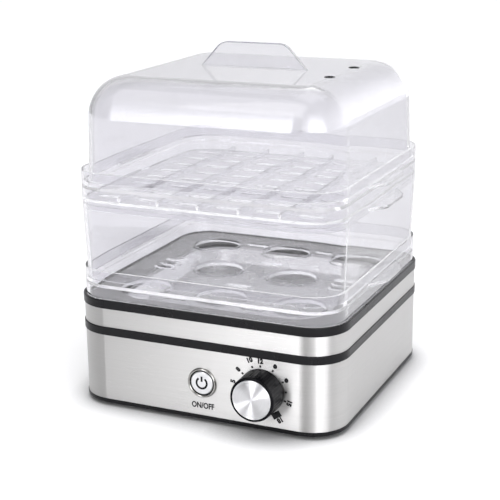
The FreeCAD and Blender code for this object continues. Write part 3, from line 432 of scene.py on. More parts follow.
@dataclass(frozen=True)
class Board(Finish):
    """A circuit board: tracks under the lacquer, with the pads between them."""

    track: float = 0.0016

    def draw(self, sketch: Sketch, shader: bpy.types.Node) -> None:
        """Draws the tracks."""
        place = self.place(sketch)
        wanted = {"Vector": place, "Scale": 1 / (4 * self.track)}
        cells = sketch.add("TexVoronoi", wanted, distance="MANHATTAN", feature="DISTANCE_TO_EDGE")
        share = sketch.fit(cells.outputs["Distance"], 0.05, 0.12, 0.0, 1.0)
        tone = sketch.blend(share, self.shade(2.2), self.shade(1.0))
        sketch.tree.links.new(tone, shader.inputs["Base Color"])
        self.raise_bump(sketch, shader, share, 0.00004)


class Slot(Enum):
    """The record's material slots, each with the finish that dresses it."""

    BLACK_PLASTIC = Moulded("black_plastic", (0.004, 0.004, 0.005), 0.24, 0.0,
                            (("Specular IOR Level", 0.22),), grain=0.0005)
    FOOT_RUBBER = Moulded("foot_rubber", (0.02, 0.02, 0.02), 0.75, grain=0.0008, depth=0.00005)
    BRUSHED_STEEL = Brushed("brushed_steel", (0.53, 0.525, 0.515), 0.3, 1.0, (("Anisotropic", 1.0),),
                            layout="wrap", line=0.00016, length=0.02, contrast=0.035)
    DISH_STEEL = Sheet("dish_steel", (0.56, 0.56, 0.57), 0.26, 1.0)
    GREY_SILICONE = Moulded("grey_silicone", (0.32, 0.32, 0.33), 0.6, depth=0.00003)
    ZINC_STEEL = Sheet("zinc_steel", (0.6, 0.6, 0.58), 0.35, 1.0)
    CAST_ALUMINIUM = Sheet("cast_aluminium", (0.6, 0.6, 0.61), 0.5, 1.0, grain=0.002, depth=0.00004)
    ELEMENT_STEEL = Sheet("element_steel", (0.2, 0.19, 0.18), 0.5, 1.0)
    CHROME_RING = Sheet("chrome_ring", (0.36, 0.355, 0.34), 0.1, 1.0, depth=0.000002)
    WHITE_CAP = Brushed("white_cap", (0.74, 0.74, 0.75), 0.34, 0.85, (("Anisotropic", 0.6),),
                        layout="polar", line=0.0002, length=1.0, contrast=0.05)
    INNER_PLASTIC = Moulded("inner_plastic", (0.03, 0.03, 0.035), 0.5)
    BLACK_GLOSS = Moulded("black_gloss", (0.003, 0.003, 0.004), 0.2, 0.0,
                          (("Specular IOR Level", 0.3), ("IOR", 1.25)), depth=0.00001)
    SPUN_ALUMINIUM = Brushed("spun_aluminium", (0.82, 0.82, 0.83), 0.4, 1.0, (("Anisotropic", 1.0),),
                             layout="polar", line=0.00025, length=1.0, depth=0.000002, contrast=0.04)
    CIRCUIT_BOARD = Board("circuit_board", (0.03, 0.12, 0.05), 0.35)
    WHITE_BLOCK = Moulded("white_block", (0.7, 0.7, 0.68), 0.4)
    BRASS_SCREWS = Sheet("brass_screws", (0.66, 0.47, 0.2), 0.3, 1.0)
    CLEAR_PLASTIC = Clear("clear_plastic", (0.865, 0.86, 0.885), 0.015, 0.0,
                          (("Transmission Weight", 1.0), ("IOR", 1.5)))


class Mark(Enum):
    """The finishes with no slot in the record: the front's printing, and the painted shade lines on the
    handle's edges.
    """

    INK = Moulded("black_ink", (0.004, 0.004, 0.005), 0.5, 0.0, (("Specular IOR Level", 0.2),),
                  depth=0.000004)
    # painted shade lines along the clear handle's edges
    EDGE = Moulded("painted_shade_line", (0.26, 0.26, 0.29), 0.4, depth=0.000004)


MATERIALS: dict[str, bpy.types.Material] = {}


def material_of(kind: Slot | Mark) -> bpy.types.Material:
    """Returns the material of a slot or a mark, made the first time it is asked for."""
    if kind.value.name not in MATERIALS:
        MATERIALS[kind.value.name] = kind.value.make()
    return MATERIALS[kind.value.name]


# ---------------------------------------------------------------- surfaces


def rounded_loop(half_x: float, half_y: float, radius: float, corner_steps: int,
                 side_steps: int) -> np.ndarray:
    """A rounded rectangle as points in order, anticlockwise from where the right side meets the rear corner.

    Each corner is a quarter circle of the radius about its own centre, and each side between two corners is
    divided evenly.

    Args:
        half_x: half the width.
        half_y: half the depth.
        radius: the corners' radius.
        corner_steps: steps round a corner.
        side_steps: steps along a side.

    Returns:
        An array of points, two numbers each.
    """
    radius = min(radius, half_x, half_y)
    turn = np.linspace(0.0, np.pi / 2, corner_steps + 1)
    arcs = []
    for quarter, (sx, sy) in enumerate(((1, 1), (-1, 1), (-1, -1), (1, -1))):
        centre = np.array((sx * (half_x - radius), sy * (half_y - radius)))
        angle = turn + quarter * np.pi / 2
        arcs.append(centre + radius * np.stack((np.cos(angle), np.sin(angle)), axis=1))
    share = np.linspace(0.0, 1.0, side_steps + 1)[1:-1, None]
    runs = [arcs[i][-1] * (1 - share) + arcs[(i + 1) % 4][0] * share for i in range(4)]
    return np.concatenate([part for pair in zip(arcs, runs) for part in pair])


def grid_faces(rows: int, columns: int, close_rows: bool, close_columns: bool) -> np.ndarray:
    """The quads between neighbouring points of a grid whose points are numbered row by row."""
    i = np.arange(rows if close_rows else rows - 1)[:, None]
    j = np.arange(columns if close_columns else columns - 1)[None, :]
    below = (i + 1) % rows
    right = (j + 1) % columns
    quads = (i * columns + j, i * columns + right, below * columns + right, below * columns + j)
    return np.stack(quads, axis=-1).reshape(-1, 4)


def path_normals(path: np.ndarray, closed: bool) -> np.ndarray:
    """The unit normals of a flat path, each square to the mean of the two directions that meet at its point.

    Args:
        path: the points, two numbers each.
        closed: whether the path runs back to its start.

    Returns:
        An array of normals, on the left of the path.
    """
    ahead = np.roll(path, -1, axis=0) - path
    behind = path - np.roll(path, 1, axis=0)
    if not closed:
        ahead[-1] = behind[-1]
        behind[0] = ahead[0]
    way = sum(leg / np.linalg.norm(leg, axis=1)[:, None] for leg in (ahead, behind))
    way /= np.linalg.norm(way, axis=1)[:, None]
    return np.stack((-way[:, 1], way[:, 0]), axis=1)


def stepped(corner: tuple[float, float], steps: Steps, inwards: bool = False) -> np.ndarray:
    """Returns profile points at steps in millimetres from a corner: out (or in) along r, and on along h."""
    return np.array(corner) + np.array(steps) * MM * (-1 if inwards else 1, 1)


def mesh_arrays(mesh: bpy.types.Mesh) -> tuple[np.ndarray, np.ndarray]:
    """Returns a mesh's points, three numbers each, and the point number at each corner of its faces."""
    places = np.empty(len(mesh.vertices) * 3)
    mesh.vertices.foreach_get("co", places)
    corners = np.empty(len(mesh.loops), int)
    mesh.loops.foreach_get("vertex_index", corners)
    return places.reshape(-1, 3), corners


def piece(name: str, points: np.ndarray, faces: list | np.ndarray, kind: Slot | Mark, body: str,
          sharp_deg: float = 35.0) -> bpy.types.Object:
    """Makes a dressed piece from points and faces, with its doubles merged and its faces pointing outwards.

    Args:
        name: the piece's name.
        points: an array of points in metres, in the row frame.
        faces: the faces' point numbers.
        kind: its finish.
        body: the body it moves with.
        sharp_deg: an edge that turns by more than this stays sharp.

    Returns:
        The new object.
    """
    mesh = bpy.data.meshes.new(name)
    places = np.asarray(points, float).reshape(-1, 3)
    mesh.from_pydata(places.tolist(), [], [list(map(int, face)) for face in faces])
    return finish_piece(name, mesh, kind, body, sharp_deg)


def finish_piece(name: str, mesh: bpy.types.Mesh, kind: Slot | Mark, body: str, sharp_deg: float = 35.0,
                 merge: float = MERGE) -> bpy.types.Object:
    """Merges a mesh's doubles, points its faces outwards, smooths it, and makes a dressed object of it.

    Args:
        name: the piece's name.
        mesh: its mesh, in the row frame.
        kind: its finish.
        body: the body it moves with.
        sharp_deg: an edge that turns by more than this stays sharp.
        merge: points nearer than this become one.

    Returns:
        The new object.
    """
    work = bmesh.new()
    work.from_mesh(mesh)
    bmesh.ops.remove_doubles(work, verts=work.verts, dist=merge)
    bmesh.ops.dissolve_degenerate(work, edges=work.edges, dist=merge)
    bmesh.ops.recalc_face_normals(work, faces=work.faces)
    work.to_mesh(mesh)
    work.free()
    mesh.shade_smooth()
    mesh.set_sharp_from_angle(angle=math.radians(sharp_deg))
    return hang(name, mesh, kind, body)


def hang(name: str, mesh: bpy.types.Mesh, kind: Slot | Mark, body: str) -> bpy.types.Object:
    """Makes a dressed object of a mesh and hangs it on its body.

    Args:
        name: the piece's name.
        mesh: its mesh, in the row frame.
        kind: its finish.
        body: the body it moves with.

    Returns:
        The new object.
    """
    made = bpy.data.objects.new(name, mesh)
    bpy.context.scene.collection.objects.link(made)
    mesh.materials.clear()
    mesh.materials.append(material_of(kind))
    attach(made, body)
    LOG.info("%s: %d faces on %s", name, len(mesh.polygons), body)
    return made


def merged_copy(node: str, kind: Slot) -> bpy.types.Object:
    """Makes a merged copy of a CAD node, which stands for it and keeps its faces' own normals.

    Points that agree to a micrometre become one, a triangle that this closes up is left out, and each corner
    of the others keeps its normal.

    Args:
        node: the CAD node.
        kind: the copy's finish.

    Returns:
        The new object.
    """
    source = frame["nodes"][node]
    places, corners = mesh_arrays(source.data)
    normals = np.empty(len(corners) * 3, np.float32)
    source.data.corner_normals.foreach_get("vector", normals)
    _, first, same = np.unique(np.round(places / MERGE), axis=0, return_index=True, return_inverse=True)
    triangles = same.reshape(-1)[corners].reshape(-1, 3)
    open_ones = (triangles != np.roll(triangles, 1, axis=1)).all(axis=1)
    mesh = bpy.data.meshes.new(node + "_skin")
    mesh.from_pydata(places[first].tolist(), [], triangles[open_ones].tolist())
    mesh.shade_smooth()
    mesh.normals_split_custom_set(normals.reshape(-1, 3, 3)[open_ones].reshape(-1, 3))
    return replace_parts(hang(node + "_skin", mesh, kind, source["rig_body"]), node)


def turned(name: str, profile: np.ndarray, centre: Point, kind: Slot | Mark, body: str, steps: int = 96,
           sharp_deg: float = 35.0, upright: bool = False) -> bpy.types.Object:
    """Turns a closed profile about a line along Y, or along Z if it is upright.

    A point of the profile is (r, h). The surface is centre + (r cos a, h, r sin a) for a round the circle,
    or centre + (r cos a, r sin a, h) if it is upright.

    Args:
        name: the piece's name.
        profile: the points of a closed outline, as (r, h) in metres.
        centre: a point on the line.
        kind: its finish.
        body: the body it moves with.
        steps: steps round the circle.
        sharp_deg: an edge that turns by more than this stays sharp.
        upright: whether the line is along Z.

    Returns:
        The new object.
    """
    angle = np.linspace(0.0, 2 * np.pi, steps, endpoint=False)[:, None]
    r, h = profile[None, :, 0], profile[None, :, 1]
    parts = [r * np.cos(angle), h + 0 * angle, r * np.sin(angle)]
    if upright:
        parts = [parts[0], parts[2], parts[1]]
    points = np.stack(parts, axis=-1) + np.array(centre)
    faces = grid_faces(steps, len(profile), True, True)
    return piece(name, points, faces, kind, body, sharp_deg)


def wrap_layout(mesh: bpy.types.Mesh, half_x: float, half_y: float, radius: float, centre_y: float) -> None:
    """Lays a UV map round a band: U runs along the rounded rectangle's outline and V up, both in metres.

    U is the length of outline from the middle of the rear side to the outline's nearest point. On a face that
    crosses the start, the corners past it go on from the whole length.

    Args:
        mesh: the band's mesh.
        half_x: half the band's width.
        half_y: half its depth.
        radius: its corners' radius.
        centre_y: the middle of the outline along Y.
    """
    places, corner = mesh_arrays(mesh)
    outline = rounded_loop(half_x, half_y, radius, 24, 40)
    start = int(np.argmin(np.abs(outline[:, 0]) + 10 * (outline[:, 1] < 0)))
    outline = np.roll(outline, -start, axis=0)
    outline = np.vstack((outline, outline[:1]))
    steps = np.linalg.norm(np.diff(outline, axis=0), axis=1)
    run = np.concatenate(((0.0,), np.cumsum(steps)))
    flat = places[:, :2] - (0.0, centre_y)
    away = flat[:, None, :] - outline[None, :-1, :]
    step = np.diff(outline, axis=0)[None]
    share = np.clip((away * step).sum(-1) / (step * step).sum(-1), 0.0, 1.0)
    gap = np.linalg.norm(away - share[..., None] * step, axis=-1)
    nearest = gap.argmin(axis=1)
    rows = np.arange(len(places))
    along = (run[:-1][nearest] + share[rows, nearest] * steps[nearest])[corner]
    total = run[-1]
    for face in mesh.polygons:
        part = slice(face.loop_start, face.loop_start + face.loop_total)
        if np.ptp(along[part]) > total / 2:
            along[part] += np.where(along[part] < total / 2, total, 0.0)
    layout = mesh.uv_layers.new(name="wrap")
    layout.data.foreach_set("uv", np.stack((along, places[corner, 2]), axis=1).ravel())


def polar_layout(mesh: bpy.types.Mesh, centre_x: float, centre_z: float, reach: float) -> None:
    """Lays a UV map on a disc that faces forward.

    U is the angle times the reach, and V the distance from the middle. The angle is taken within half a
    turn of the face's own, so no face is drawn out where the circle starts.

    Args:
        mesh: the disc's mesh.
        centre_x: its middle across.
        centre_z: its middle's height.
        reach: its radius.
    """
    places, corner = mesh_arrays(mesh)
    across, up = places[corner, 0] - centre_x, places[corner, 2] - centre_z
    middles = np.array([(face.center.x - centre_x, face.center.z - centre_z) for face in mesh.polygons])
    sizes = [face.loop_total for face in mesh.polygons]
    own = np.repeat(np.arctan2(middles[:, 1], middles[:, 0]), sizes)
    angle = own + (np.arctan2(up, across) - own + np.pi) % (2 * np.pi) - np.pi
    layout = mesh.uv_layers.new(name="polar")
    layout.data.foreach_set("uv", np.stack((angle * reach, np.hypot(across, up)), axis=1).ravel())


# ---------------------------------------------------------------- the base's skin


@dataclass
class SteelWrap:
    """The two brushed bands round the base."""

    corner_r: float = 23.3 * MM
    bands: tuple[str, ...] = ("lower_band", "upper_band")

    def build(self) -> None:
        """Copies each band and lays its brushing round it."""
        for node in self.bands:
            low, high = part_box(node)
            made = merged_copy(node, Slot.BRUSHED_STEEL)
            half_x = (high.x - low.x) / 2
            half_y = (high.y - low.y) / 2
            wrap_layout(made.data, half_x, half_y, self.corner_r, (high.y + low.y) / 2)


@dataclass
class Dial:
    """The timer's knob: a fluted black skirt with a spun metal face."""

    flutes: int = 40
    flute_depth: float = 0.12 * MM
    lean: float = 0.35 * MM
    plate_inset: float = 0.15 * MM
    edge_r: float = 0.7 * MM
    rim_w: float = 0.5 * MM
    skirt_wall: float = 1.8 * MM
    seat_depth: float = 2.4 * MM
    web_back: float = 3.6 * MM
    web_r: float = 0.05 * MM
    wall_step: float = 0.2 * MM
    steps_per_flute: int = 10
    rim_steps: Steps = ((0.0, 0.25), (0.1, 0.08), (0.3, 0.0))
    groove_steps: Steps = ((-0.2, 0.0), (-0.08, 0.12), (0.08, 0.12), (0.2, 0.0))
    dimple_steps: Steps = ((0.3, 0.03), (0.0, 0.04))

    def build(self) -> None:
        """Builds the skirt and the face."""
        low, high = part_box("dial_skirt")
        face_low, face_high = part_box("dial_face")
        centre = ((low.x + high.x) / 2, 0.0, (low.z + high.z) / 2)
        self.skirt(centre, low.y, high.y, (high.x - low.x) / 2)
        self.face(centre, face_low.y, face_high.y, (face_high.x - face_low.x) / 2 - self.plate_inset)

    def skirt(self, centre: Point, front: float, back: float, back_r: float) -> None:
        """Builds the skirt.

        The profile is (r, y): down the tapered side, round the front edge and in to the face's seat, then
        back inside. The side's radius loses depth * (0.5 + 0.5 cos(flutes * a)) ** 2, faded out near both ends.

        Args:
            centre: a point on the dial's line.
            front: the skirt's front.
            back: its back.
            back_r: its radius at the back.
        """
        front_r = back_r - self.lean
        side = np.linspace(0.0, 1.0, 15)[:, None]
        side_points = np.array((back_r, back)) * (1 - side) + np.array((front_r, front + self.edge_r)) * side
        turn = np.linspace(0.0, np.pi / 2, 7)[1:]
        edge_centre = np.array((front_r - self.edge_r, front + self.edge_r))
        edge = edge_centre + self.edge_r * np.stack((np.cos(turn), -np.sin(turn)), axis=1)
        inner_r = front_r - self.skirt_wall
        seat, web = front + self.seat_depth, front + self.web_back
        inside = np.array(((inner_r, front), (inner_r, seat), (self.web_r, seat), (self.web_r, web),
                           (inner_r - self.wall_step, web), (back_r - self.skirt_wall, back)))
        profile = np.vstack((side_points, edge, inside))
        fluted = np.zeros(len(profile))
        fluted[:len(side)] = np.sin(np.clip(side[:, 0] * 1.04, 0, 1) * np.pi) ** 0.3
        steps = self.flutes * self.steps_per_flute
        angle = np.linspace(0.0, 2 * np.pi, steps, endpoint=False)[:, None]
        groove = (0.5 + 0.5 * np.cos(self.flutes * angle)) ** 2
        radius = profile[None, :, 0] - self.flute_depth * groove * fluted[None, :]
        depth = np.broadcast_to(profile[None, :, 1], radius.shape)
        points = np.stack((radius * np.cos(angle), depth, radius * np.sin(angle)), axis=-1) + np.array(centre)
        faces = grid_faces(steps, len(profile), True, True)
        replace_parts(piece("dial_grip", points, faces, Slot.BLACK_GLOSS, "dial", 50.0), "dial_skirt")

    def face(self, centre: Point, front: float, back: float, reach: float) -> None:
        """Builds the face: a disc with a turned edge, a shallow ring groove and a slight dimple.

        Args:
            centre: a point on the dial's line.
            front: the disc's front.
            back: its back.
            reach: its radius.
        """
        groove_r = reach - 2 * self.rim_w
        profile = np.vstack((
            np.array(((0.0, back), (reach, back))), stepped((reach, front), self.rim_steps, inwards=True),
            stepped((groove_r, front), self.groove_steps, inwards=True), np.array(((groove_r / 2, front),)),
            stepped((0.0, front), self.dimple_steps)))
        made = turned("dial_plate", profile, centre, Slot.SPUN_ALUMINIUM, "dial", 128, 50.0)
        polar_layout(made.data, centre[0], centre[2], reach)
        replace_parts(made, "dial_face")


@dataclass
class PushButton:
    """The power button: a polished ring, a dark tube inside it that paints the shade of the gap, and a spun cap
    with its sign.
    """

    ring_w: float = 1.65 * MM
    flat_t: float = 0.5 * MM
    gap_shade_drop: float = 0.55 * MM
    cap_gap: float = 0.18 * MM
    sign_r: float = 3.5 * MM
    sign_w: float = 1.3 * MM
    outer_lip: Steps = ((0.0, 0.4), (0.12, 0.1), (0.4, 0.0))
    inner_lip: Steps = ((0.25, 0.0), (0.06, 0.08), (0.0, 0.3))
    lip_l: float = 1.2 * MM
    tube_from: float = 1.6 * MM
    tube_inset: float = 0.3 * MM

    def build(self) -> None:
        """Builds the ring, the dark tube of painted gap shade, the cap and the sign."""
        low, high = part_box("button_bezel")
        cap_low, cap_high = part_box("button_cap")
        steel_low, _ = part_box("lower_band")
        centre = ((low.x + high.x) / 2, 0.0, (low.z + high.z) / 2)
        reach = (high.x - low.x) / 2
        cap_r = (cap_high.x - cap_low.x) / 2
        self.ring(centre, low.y, steel_low.y, reach)
        # painted shade: a dark tube fills the gap between the ring and the cap
        self.liner(centre, low.y, high.y, reach - self.ring_w, cap_r + self.cap_gap)
        made = merged_copy("button_cap", Slot.WHITE_CAP)
        polar_layout(made.data, centre[0], centre[2], cap_r)
        Printer(cap_low.y, "button").power_sign("power_sign", centre[0], centre[2], self.sign_r, self.sign_w)

    def ring(self, centre: Point, front: float, panel: float, reach: float) -> None:
        """Builds the ring: half of an ellipse in section, ring_w wide, whose flat back lies on the panel.

        Args:
            centre: a point on the button's line.
            front: how far forward the ring comes.
            panel: the panel's face.
            reach: the ring's outer radius.
        """
        turn = np.linspace(0.0, np.pi, 17)
        proud = panel - front - self.flat_t
        bead_r = reach - self.ring_w / 2 * (1 - np.cos(turn))
        bead_y = panel - self.flat_t - proud * np.sin(turn)
        foot = np.array(((reach - self.ring_w, panel), (reach, panel)))
        profile = np.vstack((np.stack((bead_r, bead_y), axis=1), foot))
        made = turned("button_ring", profile, centre, Slot.CHROME_RING, "base")
        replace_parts(made, "button_bezel")

    def liner(self, centre: Point, front: float, back: float, outer_r: float, inner_r: float) -> None:
        """Builds the dark tube, painted shade in the gap round the cap: a tube with a rounded lip that stands
        back from the ring.

        Args:
            centre: a point on the button's line.
            front: the ring's front.
            back: the tube's back.
            outer_r: the lip's outer radius.
            inner_r: the tube's inner radius.
        """
        lip = front + self.gap_shade_drop
        tube_r = outer_r - self.tube_inset
        tube = np.array(((inner_r, back), (tube_r, back), (tube_r, lip + self.tube_from),
                         (outer_r, lip + self.lip_l)))
        profile = np.vstack((stepped((outer_r, lip), self.outer_lip, inwards=True),
                             stepped((inner_r, lip), self.inner_lip), tube))
        made = turned("button_gap_shade", profile, centre, Slot.BLACK_GLOSS, "base")
        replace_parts(made, "button_bezel")


# ---------------------------------------------------------------- printing


@dataclass
class Printer:
    """Puts thin raised ink on a flat face that looks forward."""

    face_y: float
    body: str
    ink_t: float = 0.06 * MM
    capital_share: float = 0.69
    sharp_deg: float = 30.0
    merge: float = 1e-7
    sign_gap_deg: float = 70.0

    def lettering(self, name: str, words: str, x: float, z: float, height: float, turn_deg: float = 0.0,
                  weight: float = 0.18 * MM, narrow: float = 0.82) -> None:
        """Prints words centred on (x, z).

        Args:
            name: the piece's name.
            words: what is printed.
            x: the middle's place across.
            z: the middle's height.
            height: the capitals' height.
            turn_deg: how far the words turn, clockwise.
            weight: what the strokes grow by on each side.
            narrow: the letters' width as a share of the plain width.
        """
        curve = bpy.data.curves.new(name, "FONT")
        curve.body = words
        curve.size = height / self.capital_share
        curve.align_x = "CENTER"
        curve.offset = weight
        curve.extrude = self.ink_t / 2
        curve.resolution_u = 4
        source = bpy.data.objects.new(name + "_source", curve)
        bpy.context.scene.collection.objects.link(source)
        bpy.context.view_layer.update()
        mesh = bpy.data.meshes.new_from_object(source.evaluated_get(bpy.context.evaluated_depsgraph_get()))
        bpy.data.objects.remove(source)
        bpy.data.curves.remove(curve)
        stand = Matrix.Rotation(math.radians(turn_deg), 4, "Y") @ Matrix.Rotation(math.pi / 2, 4, "X")
        centred = Matrix.Diagonal((narrow, 1.0, 1.0, 1.0)) @ Matrix.Translation((0.0, -height / 2, 0.0))
        mesh.transform(Matrix.Translation((x, self.face_y - self.ink_t / 2, z)) @ stand @ centred)
        finish_piece(name, mesh, Mark.INK, self.body, self.sharp_deg, self.merge)

    def stroke(self, name: str, path: np.ndarray, width: float, closed: bool = False) -> None:
        """Prints a line of even width along a path of (x, z) points.

        The line's edges are the path moved half the width either way along its normal, and its front stands
        the ink's thickness off the face.

        Args:
            name: the piece's name.
            path: the points.
            width: the line's width.
            closed: whether the line runs back to its start.
        """
        side = path_normals(path, closed) * width / 2
        front, back = self.face_y - self.ink_t, self.face_y
        rings = []
        for edge, depth in ((side, back), (side, front), (-side, front), (-side, back)):
            flat = path + edge
            rings.append(np.stack((flat[:, 0], np.full(len(flat), depth), flat[:, 1]), axis=1))
        points = np.stack(rings, axis=1)
        faces = grid_faces(len(path), 4, closed, True).tolist()
        if not closed:
            faces += [[0, 1, 2, 3], [4 * len(path) - 1 - i for i in range(4)]]
        piece(name, points, faces, Mark.INK, self.body, self.sharp_deg)

    def power_sign(self, name: str, x: float, z: float, radius: float, width: float) -> None:
        """Prints the power sign: a ring that is open at the top, with a bar in the gap.

        Args:
            name: what the two pieces' names start with.
            x: the middle's place across.
            z: the middle's height.
            radius: the ring's radius.
            width: the lines' width.
        """
        start = 90.0 + self.sign_gap_deg / 2
        angle = np.radians(np.linspace(start, start + 360.0 - self.sign_gap_deg, 49))
        arc = np.stack((x + radius * np.cos(angle), z + radius * np.sin(angle)), axis=1)
        self.stroke(name + "_ring", arc, width)
        self.stroke(name + "_bar", np.array(((x, z + 0.25 * radius), (x, z + 1.25 * radius))), width)


@dataclass
class TimerScale:
    """The marks round the dial: numbers of eggs' minutes, ticks, two small eggs and an end bar."""

    numbers: tuple[tuple[str, float, float], ...] = (
        ("5", -80.0, 19.5), ("8", -53.0, 19.6), ("10", -23.0, 20.6), ("12", -3.0, 19.2), ("15", 105.6, 18.8),
        ("18", 145.0, 21.0))
    eggs: tuple[tuple[float, float], ...] = ((27.5, 19.2), (60.5, 18.6))
    digit_h: float = 2.9 * MM
    digit_weight: float = 0.3 * MM
    tick_from: float = 15.1 * MM
    tick_to: float = 16.6 * MM
    tick_w: float = 1.2 * MM
    dash_deg: float = 84.0
    bar_w: float = 4.0 * MM
    bar_r: float = 17.4 * MM
    bar_deg: tuple[float, float] = (136.0, 156.0)
    egg_w: float = 1.3 * MM
    egg_half: tuple[float, float] = (0.7 * MM, 0.9 * MM)
    egg_taper: float = 0.22
    words_h: float = 3.6 * MM
    words_drop: float = 5.6 * MM

    def build(self) -> None:
        """Prints the scale and the words under the button."""
        low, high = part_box("dial_skirt")
        steel_low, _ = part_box("lower_band")
        printer = Printer(steel_low.y, "base")
        middle = ((low.x + high.x) / 2, (low.z + high.z) / 2)
        for text, angle, reach in self.numbers:
            x, z = self.at(middle, angle, reach * MM)
            printer.lettering("scale_" + text, text, x, z, self.digit_h, angle, self.digit_weight, 0.95)
            self.tick(printer, "tick_" + text, middle, angle)
        for index, (angle, reach) in enumerate(self.eggs):
            x, z = self.at(middle, angle, reach * MM)
            turn = np.linspace(0.0, 2 * np.pi, 25)[:-1]
            half_w, half_h = self.egg_half
            tall = 1.0 + self.egg_taper * np.sin(turn)
            egg = np.stack((x + half_w * np.cos(turn), z + half_h * np.sin(turn) * tall), axis=1)
            printer.stroke(f"egg_sign_{index + 1}", egg, self.egg_w, closed=True)
            self.tick(printer, f"egg_tick_{index + 1}", middle, angle)
        self.tick(printer, "tick_long", middle, self.dash_deg)
        bar = np.array([self.at(middle, angle, self.bar_r) for angle in self.bar_deg])
        printer.stroke("end_bar", bar, self.bar_w)
        low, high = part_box("button_bezel")
        x, z = (low.x + high.x) / 2, low.z - self.words_drop
        printer.lettering("switch_words", "ON/OFF", x, z, self.words_h)

    def tick(self, printer: Printer, name: str, middle: tuple[float, float], angle: float) -> None:
        """Prints a short line that points away from the dial's middle, at an angle clockwise from the top."""
        ends = np.array([self.at(middle, angle, reach) for reach in (self.tick_from, self.tick_to)])
        printer.stroke(name, ends, self.tick_w)

    @staticmethod
    def at(middle: tuple[float, float], clockwise_deg: float, reach: float) -> tuple[float, float]:
        """Returns the point at an angle clockwise from straight up and a distance from the middle."""
        angle = math.radians(clockwise_deg)
        return middle[0] + reach * math.sin(angle), middle[1] + reach * math.cos(angle)


# ---------------------------------------------------------------- clear pieces


@dataclass
class ClearStack:
    """The clear pieces that stack on the base, dark rings in the steam holes and dark lines on the handle's
    edges, both painted shade.
    """

    nodes: tuple[str, ...] = ("lower_tray", "spacer_ring", "upper_tray", "lid")
    handle_h: float = 15.8 * MM
    lid_t: float = 2.0 * MM
    hole_x: float = 60.0 * MM
    hole_y: float = 22.0 * MM
    hole_r: float = 3.0 * MM
    # the steam holes' dark rings, painted shade
    shade_ring_t: float = 0.7 * MM
    shade_ring_gap: float = 0.02 * MM
    shade_ring_lip: float = 0.5 * MM
    shade_ring_lift: float = 0.01 * MM
    shade_ring_proud: float = 0.25 * MM
    shade_ring_round: float = 0.2 * MM
    base_half: float = 36.6 * MM
    tip_half: float = 22.5 * MM
    handle_t: float = 3.0 * MM
    tip_r: float = 10.0 * MM
    bead_r: float = 0.2 * MM

    def build(self) -> None:
        """Copies each clear piece, and builds the steam holes' dark rings and the handle's edge lines, both
        painted shade.
        """
        for node in self.nodes:
            merged_copy(node, Slot.CLEAR_PLASTIC)
        low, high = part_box("lid")
        top = high.z - self.handle_h
        # painted shade: dark rings line the two steam holes
        for name, side in (("hole_shade_front", -1), ("hole_shade_rear", 1)):
            centre = ((low.x + high.x) / 2 + self.hole_x, (low.y + high.y) / 2 + side * self.hole_y, 0.0)
            self.eyelet(name, centre, top)
        middle_x, middle_y = (low.x + high.x) / 2, (low.y + high.y) / 2
        # painted shade: dark lines on the clear handle's edges
        for name, side in (("handle_shade_line_front", -1), ("handle_shade_line_rear", 1)):
            self.shade_line_bead(name, self.handle_outline(), middle_x, middle_y + side * self.handle_t / 2, top)

    def handle_outline(self) -> np.ndarray:
        """Returns the handle's outline as (x, height) points: up one slanted end, over, and down the other.

        Each tip is an arc of tip_r that touches the slanted end and the top.
        """
        lean = math.atan2(self.handle_h, self.base_half - self.tip_half)
        reach = self.tip_r * math.tan(lean / 2)
        turn = np.linspace(0.0, lean, 9)
        centre = np.array((self.tip_half - reach, self.handle_h - self.tip_r))
        tip = centre + self.tip_r * np.stack((np.sin(lean - turn), np.cos(lean - turn)), axis=1)
        half = np.vstack(((self.base_half, 2 * self.bead_r), tip))
        return np.vstack((half, (half * (-1, 1))[::-1]))

    def shade_line_bead(self, name: str, path: np.ndarray, x: float, y: float, z: float) -> None:
        """Builds a thin dark bead along a closed upright outline: a painted shade line.

        The bead is a tube of radius bead_r whose rings lie across the outline, just inside it.

        Args:
            name: the piece's name.
            path: the outline's (x, height) points.
            x: the outline's middle.
            y: the outline's place along Y.
            z: the height that it stands on.
        """
        path = path * (1 - 2 * self.bead_r / self.base_half, 1.0) - (0.0, self.bead_r)
        across = path_normals(path, True)
        turn = np.linspace(0.0, 2 * np.pi, 9)[:-1]
        flat = path[:, None, :] + self.bead_r * across[:, None, :] * np.cos(turn)[None, :, None]
        depth = np.broadcast_to(y + self.bead_r * np.sin(turn), flat.shape[:2])
        points = np.stack((x + flat[..., 0], depth, z + self.bead_r + flat[..., 1]), axis=-1)
        piece(name, points, grid_faces(len(path), len(turn), True, True), Mark.EDGE, "lid", 60.0)

    def eyelet(self, name: str, centre: Point, top: float) -> None:
        """Builds a dark ring, a painted shade in the steam hole: a short tube in the hole with a rounded lip on
        the lid.

        Args:
            name: the piece's name.
            centre: the middle of the hole.
            top: the lid's upper face.
        """
        outer, inner = self.hole_r - self.shade_ring_gap, self.hole_r - self.shade_ring_t
        lip = self.hole_r + self.shade_ring_lip
        seat, crest = top + self.shade_ring_lift, top + self.shade_ring_proud
        profile = np.array(((inner, top - self.lid_t), (outer, top - self.lid_t), (outer, seat), (lip, seat),
                            (lip - self.shade_ring_round / 4, top + self.shade_ring_proud * 0.7),
                            (lip - self.shade_ring_round, crest), (inner + self.shade_ring_round, crest),
                            (inner, top)))
        turned(name, profile, centre, Slot.BLACK_GLOSS, "lid", 48, upright=True)


# ---------------------------------------------------------------- the rest of the CAD nodes


